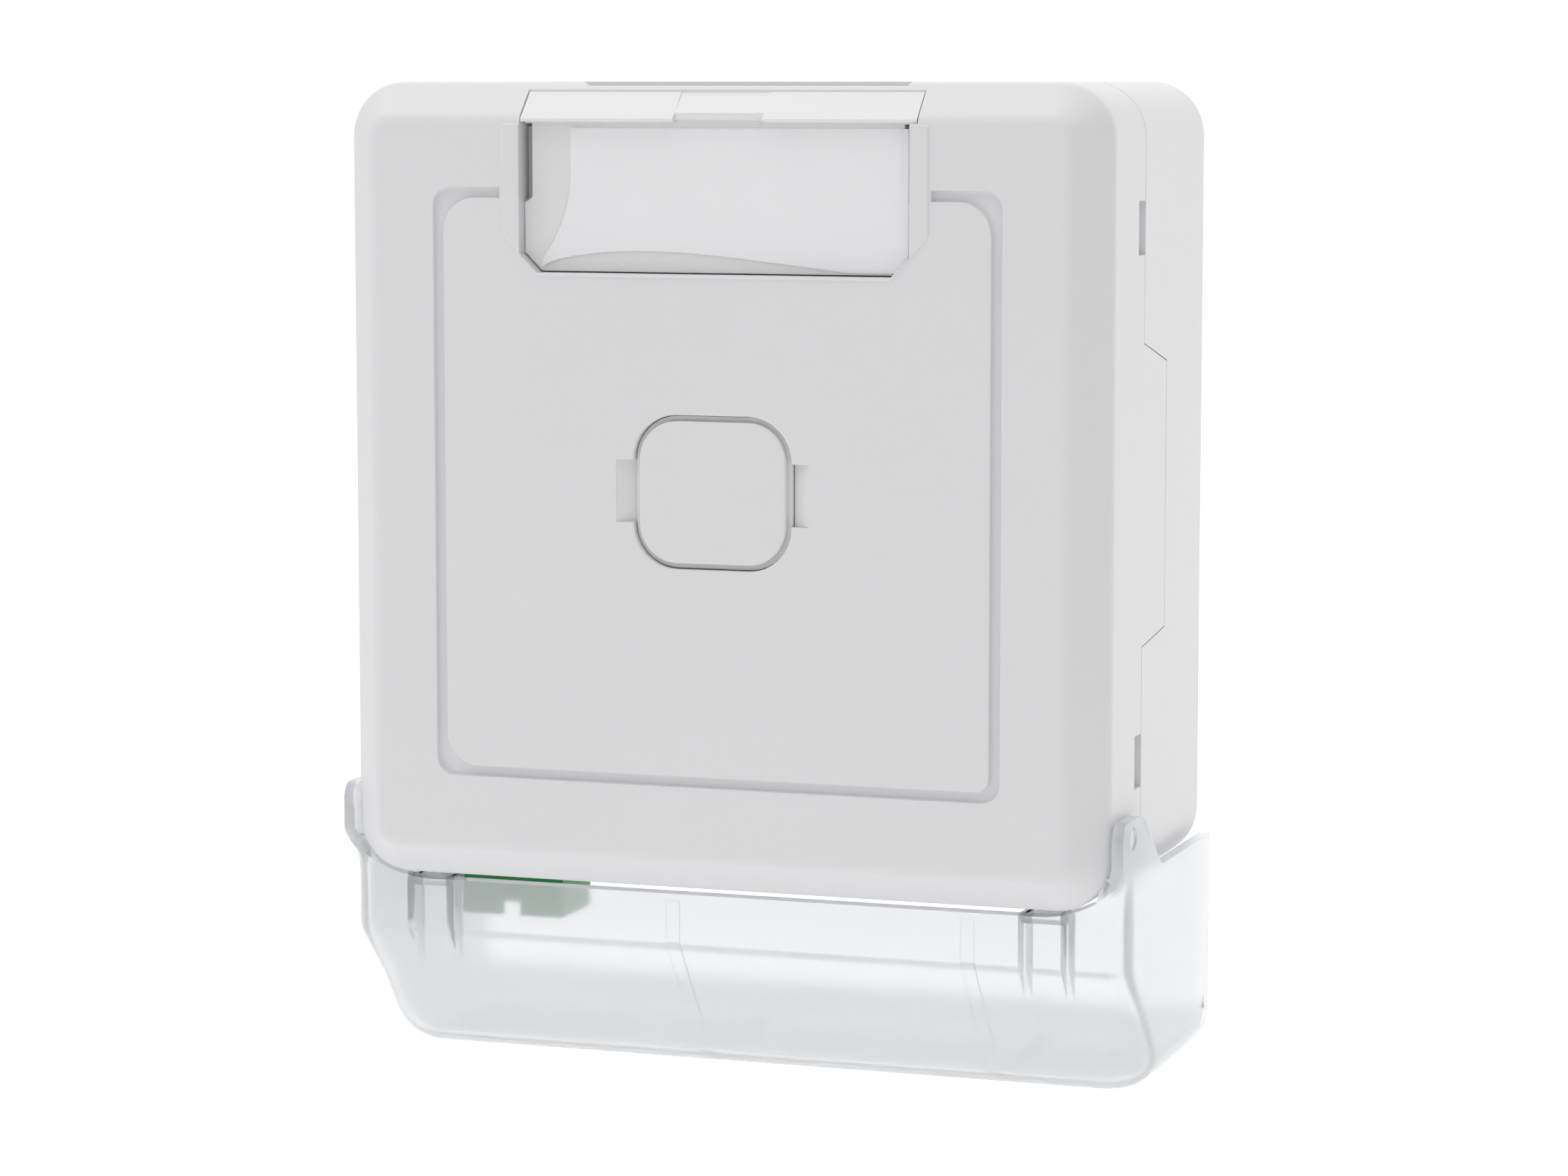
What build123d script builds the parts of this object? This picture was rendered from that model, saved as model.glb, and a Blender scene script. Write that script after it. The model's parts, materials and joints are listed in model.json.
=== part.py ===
from build123d import *
import os
from math import cos, radians, sin, tan

# Fibre termination outlet: a wall box whose front cover carries a label window, a cap over the
# cover screw and a frosted flap that swings over the patch connector below the box.
# Millimetres. The wall is the plane y = 0, the front looks towards -Y, +Z is up, and the origin
# is the middle of the back mounting face.

# ---- driving dimensions: housing ----
WIDTH = 90.0
HEIGHT = 90.8
DEPTH = 42.8
CORNER_R = 6.2
SIDE_WALL = 2.0
FACE_WALL = 2.4
BACK_WALL = 2.4
BASE_DEPTH = 26.2
CHAMFER = 4.05
CHAMFER_SOFTEN = 1.6
CAVITY_CHAMFER = 2.9

# ---- fits ----
SEAM = 0.15
MOVING_GAP = 0.3
RUNNING_FIT = 0.06
SLIP = 0.1

# ---- side tongues of the cover and pry slots on the seam ----
TONGUE_REACH = 9.8
TONGUE_TOP, TONGUE_BOTTOM = 16.5, -17.2
TONGUE_SLANT = 2.4
PRY_LENGTH, PRY_DEPTH, PRY_SIDE_DEPTH = 6.0, 2.9, 1.0
PRY_BELOW_TOP, PRY_ABOVE_BOTTOM = 16.0, 15.4

# ---- spigot lip inside the seam ----
LIP_WALL, LIP_LENGTH = 1.0, 2.0

# ---- grooved frame on the face ----
FRAME_SIDE_MARGIN, FRAME_TOP_MARGIN, FRAME_BOTTOM_MARGIN = 11.6, 11.7, 12.2
FRAME_GROOVE_W, FRAME_GROOVE_D = 1.25, 0.7
FRAME_OUTER_R, FRAME_INNER_R, FRAME_TIGHT_R = 2.1, 3.7, 1.6
FRAME_TIGHT_SIZE, FRAME_END_GAP = 10.0, 0.3

# ---- label window: the DROP sizes are measured down from the top of the housing ----
WINDOW_HALF_W = 22.9
WINDOW_DROP = 21.2
WINDOW_CUT_CORNER = 2.1
POCKET_DEPTH = 3.2
POCKET_FLOOR = 1.4
POCKET_RIM = 2.2
BOSS_HALF_W, BOSS_RAISE = 25.1, 0.2
BOSS_DROP, BOSS_FOOT = 16.8, 0.4
HOLDER_PLATE = 1.75
CARD_THICK = 0.25
PANE_THICK = 0.8
PANE_DROP = 4.9
TAB_HALF_W, TAB_DROP, TAB_THICK = 4.7, 3.7, 0.7
LIP_LOW_DROP, LIP_HIGH_DROP = 4.4, 1.1
NOTCH_LEFT, NOTCH_RIGHT, NOTCH_DEPTH = -4.6, 5.9, 0.5
SLOT_DROP, SLOT_WIDTH = 13.3, 0.6
CARD_MARGIN, CARD_TOP_GAP = 2.4, 1.0
LIP_SETBACK, LIP_LEDGE = 0.1, 0.45
TAB_SLANT, TAB_ROOT, TAB_OFFSET = 1.0, 0.5, 0.3
TOP_RECESS_LEFT, TOP_RECESS_RIGHT, TOP_RECESS_D = -20.0, 21.5, 0.45

# ---- cap over the cover screw ----
CAP_W, CAP_H, CAP_R = 17.3, 15.9, 4.4
CAP_RING = 0.65
CAP_PLATE = 1.6
CAP_WELL_DEPTH, CAP_WELL_FLOOR, CAP_WELL_WALL = 7.3, 2.0, 1.6
CAP_LEG_LENGTH, CAP_LEG_W, CAP_LEG_THICK, CAP_LEG_INSET = 3.6, 5.0, 1.2, 1.0
CAP_EDGE_R = 0.4
FINGER_NOTCH_W, FINGER_NOTCH_H, FINGER_NOTCH_D = 2.1, 7.0, 1.3

# ---- cover screw and its insert ----
SCREW_R, SCREW_HEAD_R, SCREW_HEAD_H = 1.45, 2.8, 2.2
SCREW_LENGTH = 10.5
SCREW_SLOT_W, SCREW_SLOT_D = 0.9, 1.1
SCREW_SEAT_GAP, SCREW_NECK, SCREW_HOLE_GAP = 0.05, 0.25, 0.4
RETAINER_OUTER_R, RETAINER_THICK = 2.6, 0.6
INSERT_R, INSERT_LENGTH = 2.3, 6.0
POST_R = 4.2

# ---- frosted flap ----
FLAP_WALL = 1.3
FLAP_FRONT = 4.5
FLAP_RIM_DROP = 0.8
FLAP_FOLD_DROP = 7.1
FLAP_DROP = 22.8
FLAP_SLOPE_DEG = 36.7
FLAP_SIDE_OVERLAP = 3.1
FLAP_EDGE_R = 3.6
FLAP_BACK_R, FLAP_FOLD_R, FLAP_FOOT_R = 5.0, 2.0, 5.0
REAR_LIP = 5.0
PIVOT_BACK, PIVOT_UP = 7.6, 7.9
PIVOT_R = 1.25
EAR_TOP, EAR_FRONT, EAR_BACK = 10.2, 3.1, 20.2
EAR_SLOPE, EAR_FALL, EAR_NOSE_W, EAR_NOSE_H = 8.0, 0.3, 1.4, 1.6
EAR_SLOPE_R, EAR_NOSE_R, EAR_NECK_R, EAR_NECK_UP, EAR_ROOT = 4.0, 1.2, 3.0, 0.6, 1.6
EAR_ROOT_FRONT, EAR_ROOT_BACK, PIN_ROOT, PIN_SHORT = 0.4, 3.0, 1.5, 0.2
LATCH_FROM_SIDE, LATCH_HALF_W = 8.1, 2.9
LATCH_RIB, LATCH_REACH, LATCH_TAB, LATCH_FOOT, LATCH_ROOT = 0.9, 2.8, 1.0, 15.1, 0.3
STIFFENER_X = (-6.9, 28.1)
STIFFENER_W, STIFFENER_H = 1.6, 0.6

# ---- SC type adapter ----
ADAPTER_FROM_SIDE, ADAPTER_BACK = 13.4, 16.3
ADAPTER_W, ADAPTER_T, ADAPTER_L = 12.9, 9.3, 29.0
ADAPTER_DROP = 7.0
ADAPTER_WALL = 1.0
FLANGE_W, FLANGE_L, FLANGE_UP = 20.6, 2.0, 10.0
ADAPTER_EDGE_R, KEY_HALF_W, KEY_LENGTH = 0.4, 1.2, 4.0
SLEEVE_R, SLEEVE_BORE_R, SLEEVE_L, SLEEVE_SLIT = 1.6, 1.25, 11.4, 0.3
CARRIER_DISC, CARRIER_EXTRA = 2.0, 0.8
HOOK_INSET, HOOK_THICK, HOOK_W, HOOK_L = 0.9, 0.9, 3.2, 13.0
HOLDER_TUBE_WALL = 0.9
CLIP_SHEET, CLIP_L, CLIP_ABOVE_FLANGE, CLIP_OPEN_HALF = 0.35, 6.0, 2.4, 3.0
CLIP_TONGUE_OUT, CLIP_TONGUE_HALF, CLIP_TONGUE_Z = 1.2, 1.5, (1.0, 1.6, 2.0, 4.5)
SADDLE_EXTRA, SADDLE_MARGIN, SADDLE_SHORT = 1.2, 2.0, 1.0

# ---- splice tray and cable parts ----
TRAY_MARGIN, TRAY_BOTTOM, TRAY_R = 6.0, -4.0, 4.0
TRAY_BACK, TRAY_FLOOR, TRAY_RIM_H, TRAY_RIM_T = 9.0, 1.4, 7.0, 1.2
TRAY_POST_INSET, TRAY_POST_Z, TRAY_POST_R = 9.0, 12.0, 3.0
TRAY_SCREW_R, TRAY_SCREW_HEAD_R, TRAY_SCREW_HEAD_H, TRAY_SCREW_L = 1.1, 2.2, 1.3, 7.0
SPLICE_DROP, SPLICE_L, SPLICE_H, SPLICE_T, SPLICE_SLOTS = 9.0, 44.0, 10.0, 5.0, 4
SPLICE_SLOT_W, SPLICE_SLOT_D, SPLICE_CUT = 1.6, 2.8, 10.0
DRUM_R, DRUM_WALL, DRUM_GAP, DRUM_ARC_DEG = 11.0, 1.2, 0.05, 50.0
FIBRE_GAP_X, FIBRE_GAP_W, FIBRE_GAP_DEPTH, DRUM_SHORT = 20.0, 8.0, 0.5, 1.0
LID_THICK, LID_MARGIN, LID_HOLE_R = 0.8, 0.3, 3.0
LID_PIN_R, LID_PIN_INSET, LID_PIN_DROP = 1.2, 1.5, 6.0
CLAMP_UP, CLAMP_L, CLAMP_H, CLAMP_T, CLAMP_SADDLE = 21.4, 22.0, 7.0, 3.0, 8.0
CLAMP_SCREW_SPAN, CLAMP_GROOVE_R, CLAMP_EDGE_R = 15.0, 2.0, 1.2
CROSS_SHARE, CROSS_W = 0.6, 0.6
CLAMP_SCREW_R, CLAMP_SCREW_HEAD_R, CLAMP_SCREW_HEAD_H, CLAMP_SCREW_L = 1.2, 2.3, 1.4, 9.0
ENTRY_FROM_SIDE, ENTRY_UP, ENTRY_W, ENTRY_H = 23.0, 9.4, 18.0, 8.0
GROMMET_WALL, GROMMET_LIP, GROMMET_EASE = 1.2, 1.0, 0.2
MOUNT_HALF_SPAN, MOUNT_HOLE_R, MOUNT_SLOT_L, MOUNT_Z = 30.0, 2.2, 8.0, -10.0

# ---- worked out from the driving dimensions ----
BOTTOM, TOP = -HEIGHT / 2, HEIGHT / 2
FACE_Y, SEAM_Y = -DEPTH, -BASE_DEPTH
PRY_HEIGHTS = (TOP - PRY_BELOW_TOP, BOTTOM + PRY_ABOVE_BOTTOM)
FRAME_HALF_W = WIDTH / 2 - FRAME_SIDE_MARGIN
FRAME_TOP, FRAME_BOTTOM = TOP - FRAME_TOP_MARGIN, BOTTOM + FRAME_BOTTOM_MARGIN
WINDOW_BOTTOM, BOSS_BOTTOM = TOP - WINDOW_DROP, TOP - BOSS_DROP
PANE_TOP, TAB_TOP, SLOT_BOTTOM = TOP - PANE_DROP, TOP - TAB_DROP, TOP - SLOT_DROP
LIP_BOTTOM, LIP_TOP = TOP - LIP_LOW_DROP, TOP - LIP_HIGH_DROP
LATCH_X = WIDTH / 2 - LATCH_FROM_SIDE
ADAPTER_X = ADAPTER_FROM_SIDE - WIDTH / 2
TRAY_HALF_W, TRAY_TOP = WIDTH / 2 - TRAY_MARGIN, TOP - PANE_DROP
TRAY_POST_X = TRAY_HALF_W - TRAY_POST_INSET
SPLICE_Z = TRAY_TOP - SPLICE_DROP
DRUM_Z = SPLICE_Z - SPLICE_H / 2 - DRUM_GAP - DRUM_R - DRUM_WALL
ENTRY_X = CLAMP_X = WIDTH / 2 - ENTRY_FROM_SIDE
ENTRY_Z, CLAMP_Z = BOTTOM + ENTRY_UP, BOTTOM + CLAMP_UP
POCKET_Y = FACE_Y + POCKET_DEPTH
HOLDER_Y = POCKET_Y - HOLDER_PLATE
CARD_Y = HOLDER_Y - CARD_THICK
PANE_Y = CARD_Y - SLIP
WELL_Y = FACE_Y + CAP_WELL_DEPTH
WELL_BACK_Y = WELL_Y + CAP_WELL_FLOOR
POST_Y = WELL_BACK_Y + RETAINER_THICK + 3 * SLIP
CHAMFER_Z = TOP - CHAMFER
PIVOT_Y, PIVOT_Z = FACE_Y + PIVOT_BACK, BOTTOM + PIVOT_UP
FLAP_INSIDE_X = WIDTH / 2 + MOVING_GAP
FLAP_OUTSIDE_X = FLAP_INSIDE_X + FLAP_WALL
TRAY_Y = -TRAY_BACK
TRAY_FLOOR_Y = TRAY_Y - TRAY_FLOOR
TRAY_RIM_Y = TRAY_FLOOR_Y - TRAY_RIM_H
ADAPTER_Y = -ADAPTER_BACK - ADAPTER_T / 2
ADAPTER_Z0 = BOTTOM - ADAPTER_DROP
ADAPTER_Z1 = ADAPTER_Z0 + ADAPTER_L
FLANGE_Z = BOTTOM + FLANGE_UP
SLEEVE_Z = (ADAPTER_Z0 + ADAPTER_Z1) / 2


def plate(shape, back_y, front_y):
    """A front-view shape made solid from back_y forward to front_y."""
    return extrude(Plane.XZ.offset(-back_y) * shape, amount=back_y - front_y)


def across(shape, low_x, high_x):
    """A side-view shape, drawn as (y, z), made solid from low_x to high_x."""
    return extrude(Plane.YZ.offset(low_x) * shape, amount=high_x - low_x)


def block(low_x, high_x, low_y, high_y, low_z, high_z):
    middle = ((low_x + high_x) / 2, (low_y + high_y) / 2, (low_z + high_z) / 2)
    return Pos(*middle) * Box(high_x - low_x, high_y - low_y, high_z - low_z)


def rod(radius, x, z, back_y, front_y):
    """A cylinder along Y."""
    return Pos(x, (back_y + front_y) / 2, z) * Rot(90, 0, 0) * Cylinder(radius, back_y - front_y)


def pin_x(radius, y, z, low_x, high_x):
    """A cylinder along X."""
    return Pos((low_x + high_x) / 2, y, z) * Rot(0, 90, 0) * Cylinder(radius, high_x - low_x)


def outline(inset=0.0):
    """The housing's front outline, moved in by inset."""
    return RectangleRounded(WIDTH - 2 * inset, HEIGHT - 2 * inset, max(CORNER_R - inset, 0.5))


def polygon(*points):
    return make_face(Polyline(*points, close=True))


def tongue_shape(gap=0.0):
    """The side tongue, as (y, z): it tapers from the seam towards the wall."""
    tip = SEAM_Y + TONGUE_REACH + gap
    return polygon((SEAM_Y - 0.01, TONGUE_TOP + gap), (tip, TONGUE_TOP - TONGUE_SLANT + gap),
                   (tip, TONGUE_BOTTOM + TONGUE_SLANT / 2 - gap), (SEAM_Y - 0.01, TONGUE_BOTTOM - gap))


def both_sides(solid):
    return solid + mirror(solid, Plane.YZ)


# ---------------------------------------------------------------- base
def base_saddle():
    """Two cheeks on the back wall that take the adapter's flange in slots."""
    cheek_w = (FLANGE_W - ADAPTER_W) / 2 + SADDLE_EXTRA
    low, high = FLANGE_Z - SADDLE_MARGIN, FLANGE_Z + FLANGE_L + SADDLE_MARGIN
    cheeks = None
    for side in (-1, 1):
        inner = ADAPTER_X + side * (ADAPTER_W / 2 + SLIP)
        outer = inner + side * cheek_w
        cheek = block(min(inner, outer), max(inner, outer), -ADAPTER_BACK - ADAPTER_T + SADDLE_SHORT,
                      -BACK_WALL + 0.01, low, high)
        cheeks = cheek if cheeks is None else cheeks + cheek
    slot = block(ADAPTER_X - FLANGE_W / 2 - SLIP, ADAPTER_X + FLANGE_W / 2 + SLIP,
                 -ADAPTER_BACK - ADAPTER_T - 1, -ADAPTER_BACK + SLIP,
                 FLANGE_Z - SLIP, FLANGE_Z + FLANGE_L + SLIP)
    bed = block(ADAPTER_X - ADAPTER_W / 2 - SLIP - 0.01, ADAPTER_X + ADAPTER_W / 2 + SLIP + 0.01,
                -ADAPTER_BACK + SLIP, -BACK_WALL + 0.01, low, high)
    return cheeks - slot + bed


def base_shell():
    body = plate(outline(), 0, SEAM_Y) - plate(outline(SIDE_WALL), -BACK_WALL, SEAM_Y - 1)
    lip = plate(outline(SIDE_WALL - LIP_WALL), SEAM_Y + 2, SEAM_Y - LIP_LENGTH)
    lip -= plate(outline(SIDE_WALL), SEAM_Y + 3, SEAM_Y - LIP_LENGTH - 1)
    body += lip
    tongue_room = across(tongue_shape(SEAM), WIDTH / 2 - SIDE_WALL - 1, WIDTH / 2 + 1)
    lip_room = block(WIDTH / 2 - SIDE_WALL - 1, WIDTH / 2 + 1, SEAM_Y - LIP_LENGTH - 1, SEAM_Y + 0.01,
                     TONGUE_BOTTOM - SEAM, TONGUE_TOP + SEAM)
    body -= both_sides(tongue_room + lip_room)
    body += rod(POST_R, 0, 0, -BACK_WALL + 0.01, POST_Y)
    body -= rod(INSERT_R, 0, 0, POST_Y + INSERT_LENGTH, POST_Y - 1)
    body -= rod(SCREW_R + SCREW_HOLE_GAP, 0, 0, WELL_Y + SCREW_LENGTH + 1, POST_Y)
    for side in (-1, 1):
        post = rod(TRAY_POST_R, side * TRAY_POST_X, TRAY_POST_Z, -BACK_WALL + 0.01, TRAY_Y)
        post -= rod(TRAY_SCREW_R, side * TRAY_POST_X, TRAY_POST_Z, -BACK_WALL - 0.5, TRAY_Y - 1)
        body += post
    saddle = block(CLAMP_X - CLAMP_L / 2, CLAMP_X + CLAMP_L / 2, -BACK_WALL - CLAMP_SADDLE,
                   -BACK_WALL + 0.01, CLAMP_Z - CLAMP_H / 2, CLAMP_Z + CLAMP_H / 2)
    saddle -= Pos(CLAMP_X, -BACK_WALL - CLAMP_SADDLE, CLAMP_Z) * Cylinder(CLAMP_GROOVE_R, CLAMP_H + 2)
    for side in (-1, 1):
        saddle -= rod(CLAMP_SCREW_R, CLAMP_X + side * CLAMP_SCREW_SPAN / 2, CLAMP_Z,
                      -BACK_WALL - 1, -BACK_WALL - CLAMP_SADDLE - 1)
    body += saddle + base_saddle()
    port = block(ADAPTER_X - ADAPTER_W / 2 - SLIP, ADAPTER_X + ADAPTER_W / 2 + SLIP,
                 ADAPTER_Y - ADAPTER_T / 2 - SLIP, ADAPTER_Y + ADAPTER_T / 2 + SLIP,
                 BOTTOM - 1, BOTTOM + SIDE_WALL + 1)
    body -= port
    entry = RectangleRounded(ENTRY_W, ENTRY_H, ENTRY_H / 2 - GROMMET_EASE)
    body -= plate(Pos(ENTRY_X, ENTRY_Z) * entry, 1, -BACK_WALL - 1)
    for side in (-1, 1):
        slot = Pos(side * MOUNT_HALF_SPAN, MOUNT_Z) * SlotOverall(MOUNT_SLOT_L, 2 * MOUNT_HOLE_R)
        body -= plate(slot, 1, -BACK_WALL - 1)
    return body


def brass_insert():
    insert = rod(INSERT_R, 0, 0, POST_Y + INSERT_LENGTH, POST_Y)
    return insert - rod(SCREW_R + RUNNING_FIT, 0, 0, POST_Y + INSERT_LENGTH + 1, POST_Y - 1)


# ---------------------------------------------------------------- adapter
def adapter_section(width, thickness, low_z, high_z):
    return block(ADAPTER_X - width / 2, ADAPTER_X + width / 2, ADAPTER_Y - thickness / 2,
                 ADAPTER_Y + thickness / 2, low_z, high_z)


def adapter_body():
    body = adapter_section(ADAPTER_W, ADAPTER_T, ADAPTER_Z0, ADAPTER_Z1)
    body = fillet(body.edges().filter_by(Axis.Z), ADAPTER_EDGE_R)
    body += adapter_section(FLANGE_W, ADAPTER_T, FLANGE_Z, FLANGE_Z + FLANGE_L)
    cavity_w, cavity_t = ADAPTER_W - 2 * ADAPTER_WALL, ADAPTER_T - 2 * ADAPTER_WALL
    body -= adapter_section(cavity_w, cavity_t, ADAPTER_Z0 - 1, ADAPTER_Z1 + 1)
    front = ADAPTER_Y - ADAPTER_T / 2
    for low_z, high_z in ((ADAPTER_Z0 - 1, ADAPTER_Z0 + KEY_LENGTH),
                          (ADAPTER_Z1 - KEY_LENGTH, ADAPTER_Z1 + 1)):
        body -= block(ADAPTER_X - KEY_HALF_W, ADAPTER_X + KEY_HALF_W, front - 1, ADAPTER_Y, low_z, high_z)
    return body


def adapter_insert():
    cavity_w, cavity_t = ADAPTER_W - 2 * ADAPTER_WALL, ADAPTER_T - 2 * ADAPTER_WALL
    middle = Pos(ADAPTER_X, ADAPTER_Y, SLEEVE_Z)
    insert = adapter_section(cavity_w, cavity_t, SLEEVE_Z - CARRIER_DISC / 2, SLEEVE_Z + CARRIER_DISC / 2)
    insert += middle * Cylinder(SLEEVE_R + HOLDER_TUBE_WALL, SLEEVE_L + CARRIER_EXTRA)
    for side in (-1, 1):
        hook = Pos(side * (cavity_w / 2 - HOOK_INSET), 0, 0) * Box(HOOK_THICK, HOOK_W, HOOK_L)
        insert += middle * hook
    return insert - middle * Cylinder(SLEEVE_R, SLEEVE_L + 2)


def ceramic_sleeve():
    sleeve = Cylinder(SLEEVE_R, SLEEVE_L) - Cylinder(SLEEVE_BORE_R, SLEEVE_L + 1)
    slit = Pos(0, -SLEEVE_R, 0) * Box(SLEEVE_SLIT, 2 * SLEEVE_R, SLEEVE_L + 1)
    return Pos(ADAPTER_X, ADAPTER_Y, SLEEVE_Z) * (sleeve - slit)


def adapter_clip():
    low = FLANGE_Z + FLANGE_L + CLIP_ABOVE_FLANGE
    clip = adapter_section(ADAPTER_W + 2 * CLIP_SHEET, ADAPTER_T + 2 * CLIP_SHEET, low, low + CLIP_L)
    clip -= adapter_section(ADAPTER_W, ADAPTER_T, low - 1, low + CLIP_L + 1)
    clip -= block(ADAPTER_X - CLIP_OPEN_HALF, ADAPTER_X + CLIP_OPEN_HALF, ADAPTER_Y, ADAPTER_Y + ADAPTER_T,
                  low - 1, low + CLIP_L + 1)
    root_low, tip_low, tip_high, root_high = (low + rise for rise in CLIP_TONGUE_Z)
    for side in (-1, 1):
        edge = ADAPTER_X + side * (ADAPTER_W / 2 + CLIP_SHEET)
        root, tip = edge - side * CLIP_SHEET / 3, edge + side * CLIP_TONGUE_OUT
        tongue = polygon((root, root_low), (tip, tip_low), (tip, tip_high), (root, root_high))
        clip += plate(tongue, ADAPTER_Y + CLIP_TONGUE_HALF, ADAPTER_Y - CLIP_TONGUE_HALF)
    return clip


# ---------------------------------------------------------------- splice tray
def tray_outline(inset=0.0):
    middle = (TRAY_TOP + TRAY_BOTTOM) / 2
    return Pos(0, middle) * RectangleRounded(2 * (TRAY_HALF_W - inset), TRAY_TOP - TRAY_BOTTOM - 2 * inset,
                                             TRAY_R - min(inset, TRAY_R - 0.5))


def drum_shape(start_deg):
    """One quarter of the drum that the fibre is wound round, as a bent wall."""
    ring = Circle(DRUM_R + DRUM_WALL) - Circle(DRUM_R)
    half = radians(DRUM_ARC_DEG / 2)
    reach = 3 * DRUM_R
    wedge = polygon((0, 0), (reach * cos(radians(start_deg) - half), reach * sin(radians(start_deg) - half)),
                    (reach * cos(radians(start_deg) + half), reach * sin(radians(start_deg) + half)))
    return Pos(0, DRUM_Z) * (ring & wedge)


def splice_tray():
    tray = plate(tray_outline(), TRAY_Y, TRAY_RIM_Y)
    tray -= plate(tray_outline(TRAY_RIM_T), TRAY_FLOOR_Y, TRAY_RIM_Y - 1)
    for start_deg in (0, 90, 180):
        tray += plate(drum_shape(start_deg), TRAY_FLOOR_Y + 0.01, TRAY_RIM_Y + DRUM_SHORT)
    tray += plate(Circle(POST_R + SLIP + TRAY_RIM_T), TRAY_Y, TRAY_RIM_Y + DRUM_SHORT)
    tray -= plate(Circle(POST_R + SLIP), TRAY_Y + 1, TRAY_RIM_Y - 1)
    for side in (-1, 1):
        tray -= rod(TRAY_SCREW_R + SLIP, side * TRAY_POST_X, TRAY_POST_Z, TRAY_Y + 1, TRAY_FLOOR_Y - 1)
        middle = side * FIBRE_GAP_X
        tray -= block(middle - FIBRE_GAP_W / 2, middle + FIBRE_GAP_W / 2, TRAY_RIM_Y - 1, TRAY_FLOOR_Y,
                      TRAY_BOTTOM - 1, TRAY_BOTTOM + TRAY_RIM_T + FIBRE_GAP_DEPTH)
    return tray


def splice_holder():
    holder = block(-SPLICE_L / 2, SPLICE_L / 2, TRAY_FLOOR_Y - SPLICE_T, TRAY_FLOOR_Y,
                   SPLICE_Z - SPLICE_H / 2, SPLICE_Z + SPLICE_H / 2)
    pitch = SPLICE_H / SPLICE_SLOTS
    for count in range(SPLICE_SLOTS):
        z = SPLICE_Z - SPLICE_H / 2 + pitch * (count + 0.5)
        holder -= block(-SPLICE_L / 2 - 1, SPLICE_L / 2 + 1, TRAY_FLOOR_Y - SPLICE_T - 1,
                        TRAY_FLOOR_Y - SPLICE_T + SPLICE_SLOT_D,
                        z - SPLICE_SLOT_W / 2, z + SPLICE_SLOT_W / 2)
    for side in (-1, 1):
        middle = side * SPLICE_L / 4
        holder -= block(middle - SPLICE_CUT / 2, middle + SPLICE_CUT / 2, TRAY_FLOOR_Y - SPLICE_T - 1,
                        TRAY_FLOOR_Y - TRAY_FLOOR, SPLICE_Z - SPLICE_H, SPLICE_Z + SPLICE_H)
    return holder


def tray_lid():
    lid = plate(tray_outline(LID_MARGIN), TRAY_RIM_Y, TRAY_RIM_Y - LID_THICK)
    lid -= plate(Circle(POST_R + 3 * SLIP), TRAY_RIM_Y + 1, TRAY_RIM_Y - LID_THICK - 1)
    for side in (-1, 1):
        lid -= rod(LID_HOLE_R, side * TRAY_POST_X, TRAY_POST_Z, TRAY_RIM_Y + 1, TRAY_RIM_Y - LID_THICK - 1)
        lid += rod(LID_PIN_R, side * (TRAY_HALF_W - TRAY_RIM_T - LID_PIN_INSET), TRAY_TOP - LID_PIN_DROP,
                   TRAY_FLOOR_Y, TRAY_RIM_Y)
    return lid


def pan_screw(radius, head_r, head_h, length, seat_y):
    """A screw along Y whose head sits in front of seat_y, with a cross in its head."""
    screw = rod(radius, 0, 0, seat_y + length, seat_y) + rod(head_r, 0, 0, seat_y, seat_y - head_h)
    front = seat_y - head_h
    long_half, thin_half = head_r * CROSS_SHARE, CROSS_W / 2
    for half_x, half_z in ((long_half, thin_half), (thin_half, long_half)):
        screw -= block(-half_x, half_x, front - 1, front + head_h / 2, -half_z, half_z)
    return screw


def screw_pair(screw, places):
    return Compound(children=[Pos(x, 0, z) * screw for x, z in places])


def tray_screws():
    screw = pan_screw(TRAY_SCREW_R, TRAY_SCREW_HEAD_R, TRAY_SCREW_HEAD_H, TRAY_SCREW_L, TRAY_FLOOR_Y)
    return screw_pair(screw, [(side * TRAY_POST_X, TRAY_POST_Z) for side in (-1, 1)])


def cable_clamp():
    seat = -BACK_WALL - CLAMP_SADDLE
    clamp = block(CLAMP_X - CLAMP_L / 2, CLAMP_X + CLAMP_L / 2, seat - CLAMP_T, seat,
                  CLAMP_Z - CLAMP_H / 2, CLAMP_Z + CLAMP_H / 2)
    clamp = fillet(clamp.edges().filter_by(Axis.Y), CLAMP_EDGE_R)
    clamp -= Pos(CLAMP_X, seat, CLAMP_Z) * Cylinder(CLAMP_GROOVE_R, CLAMP_H + 2)
    for side in (-1, 1):
        screw_x = CLAMP_X + side * CLAMP_SCREW_SPAN / 2
        clamp -= rod(CLAMP_SCREW_R, screw_x, CLAMP_Z, seat + 1, seat - CLAMP_T - 1)
    return clamp


def clamp_screws():
    seat = -BACK_WALL - CLAMP_SADDLE - CLAMP_T
    screw = pan_screw(CLAMP_SCREW_R, CLAMP_SCREW_HEAD_R, CLAMP_SCREW_HEAD_H, CLAMP_SCREW_L, seat)
    return screw_pair(screw, [(CLAMP_X + side * CLAMP_SCREW_SPAN / 2, CLAMP_Z) for side in (-1, 1)])


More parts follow.
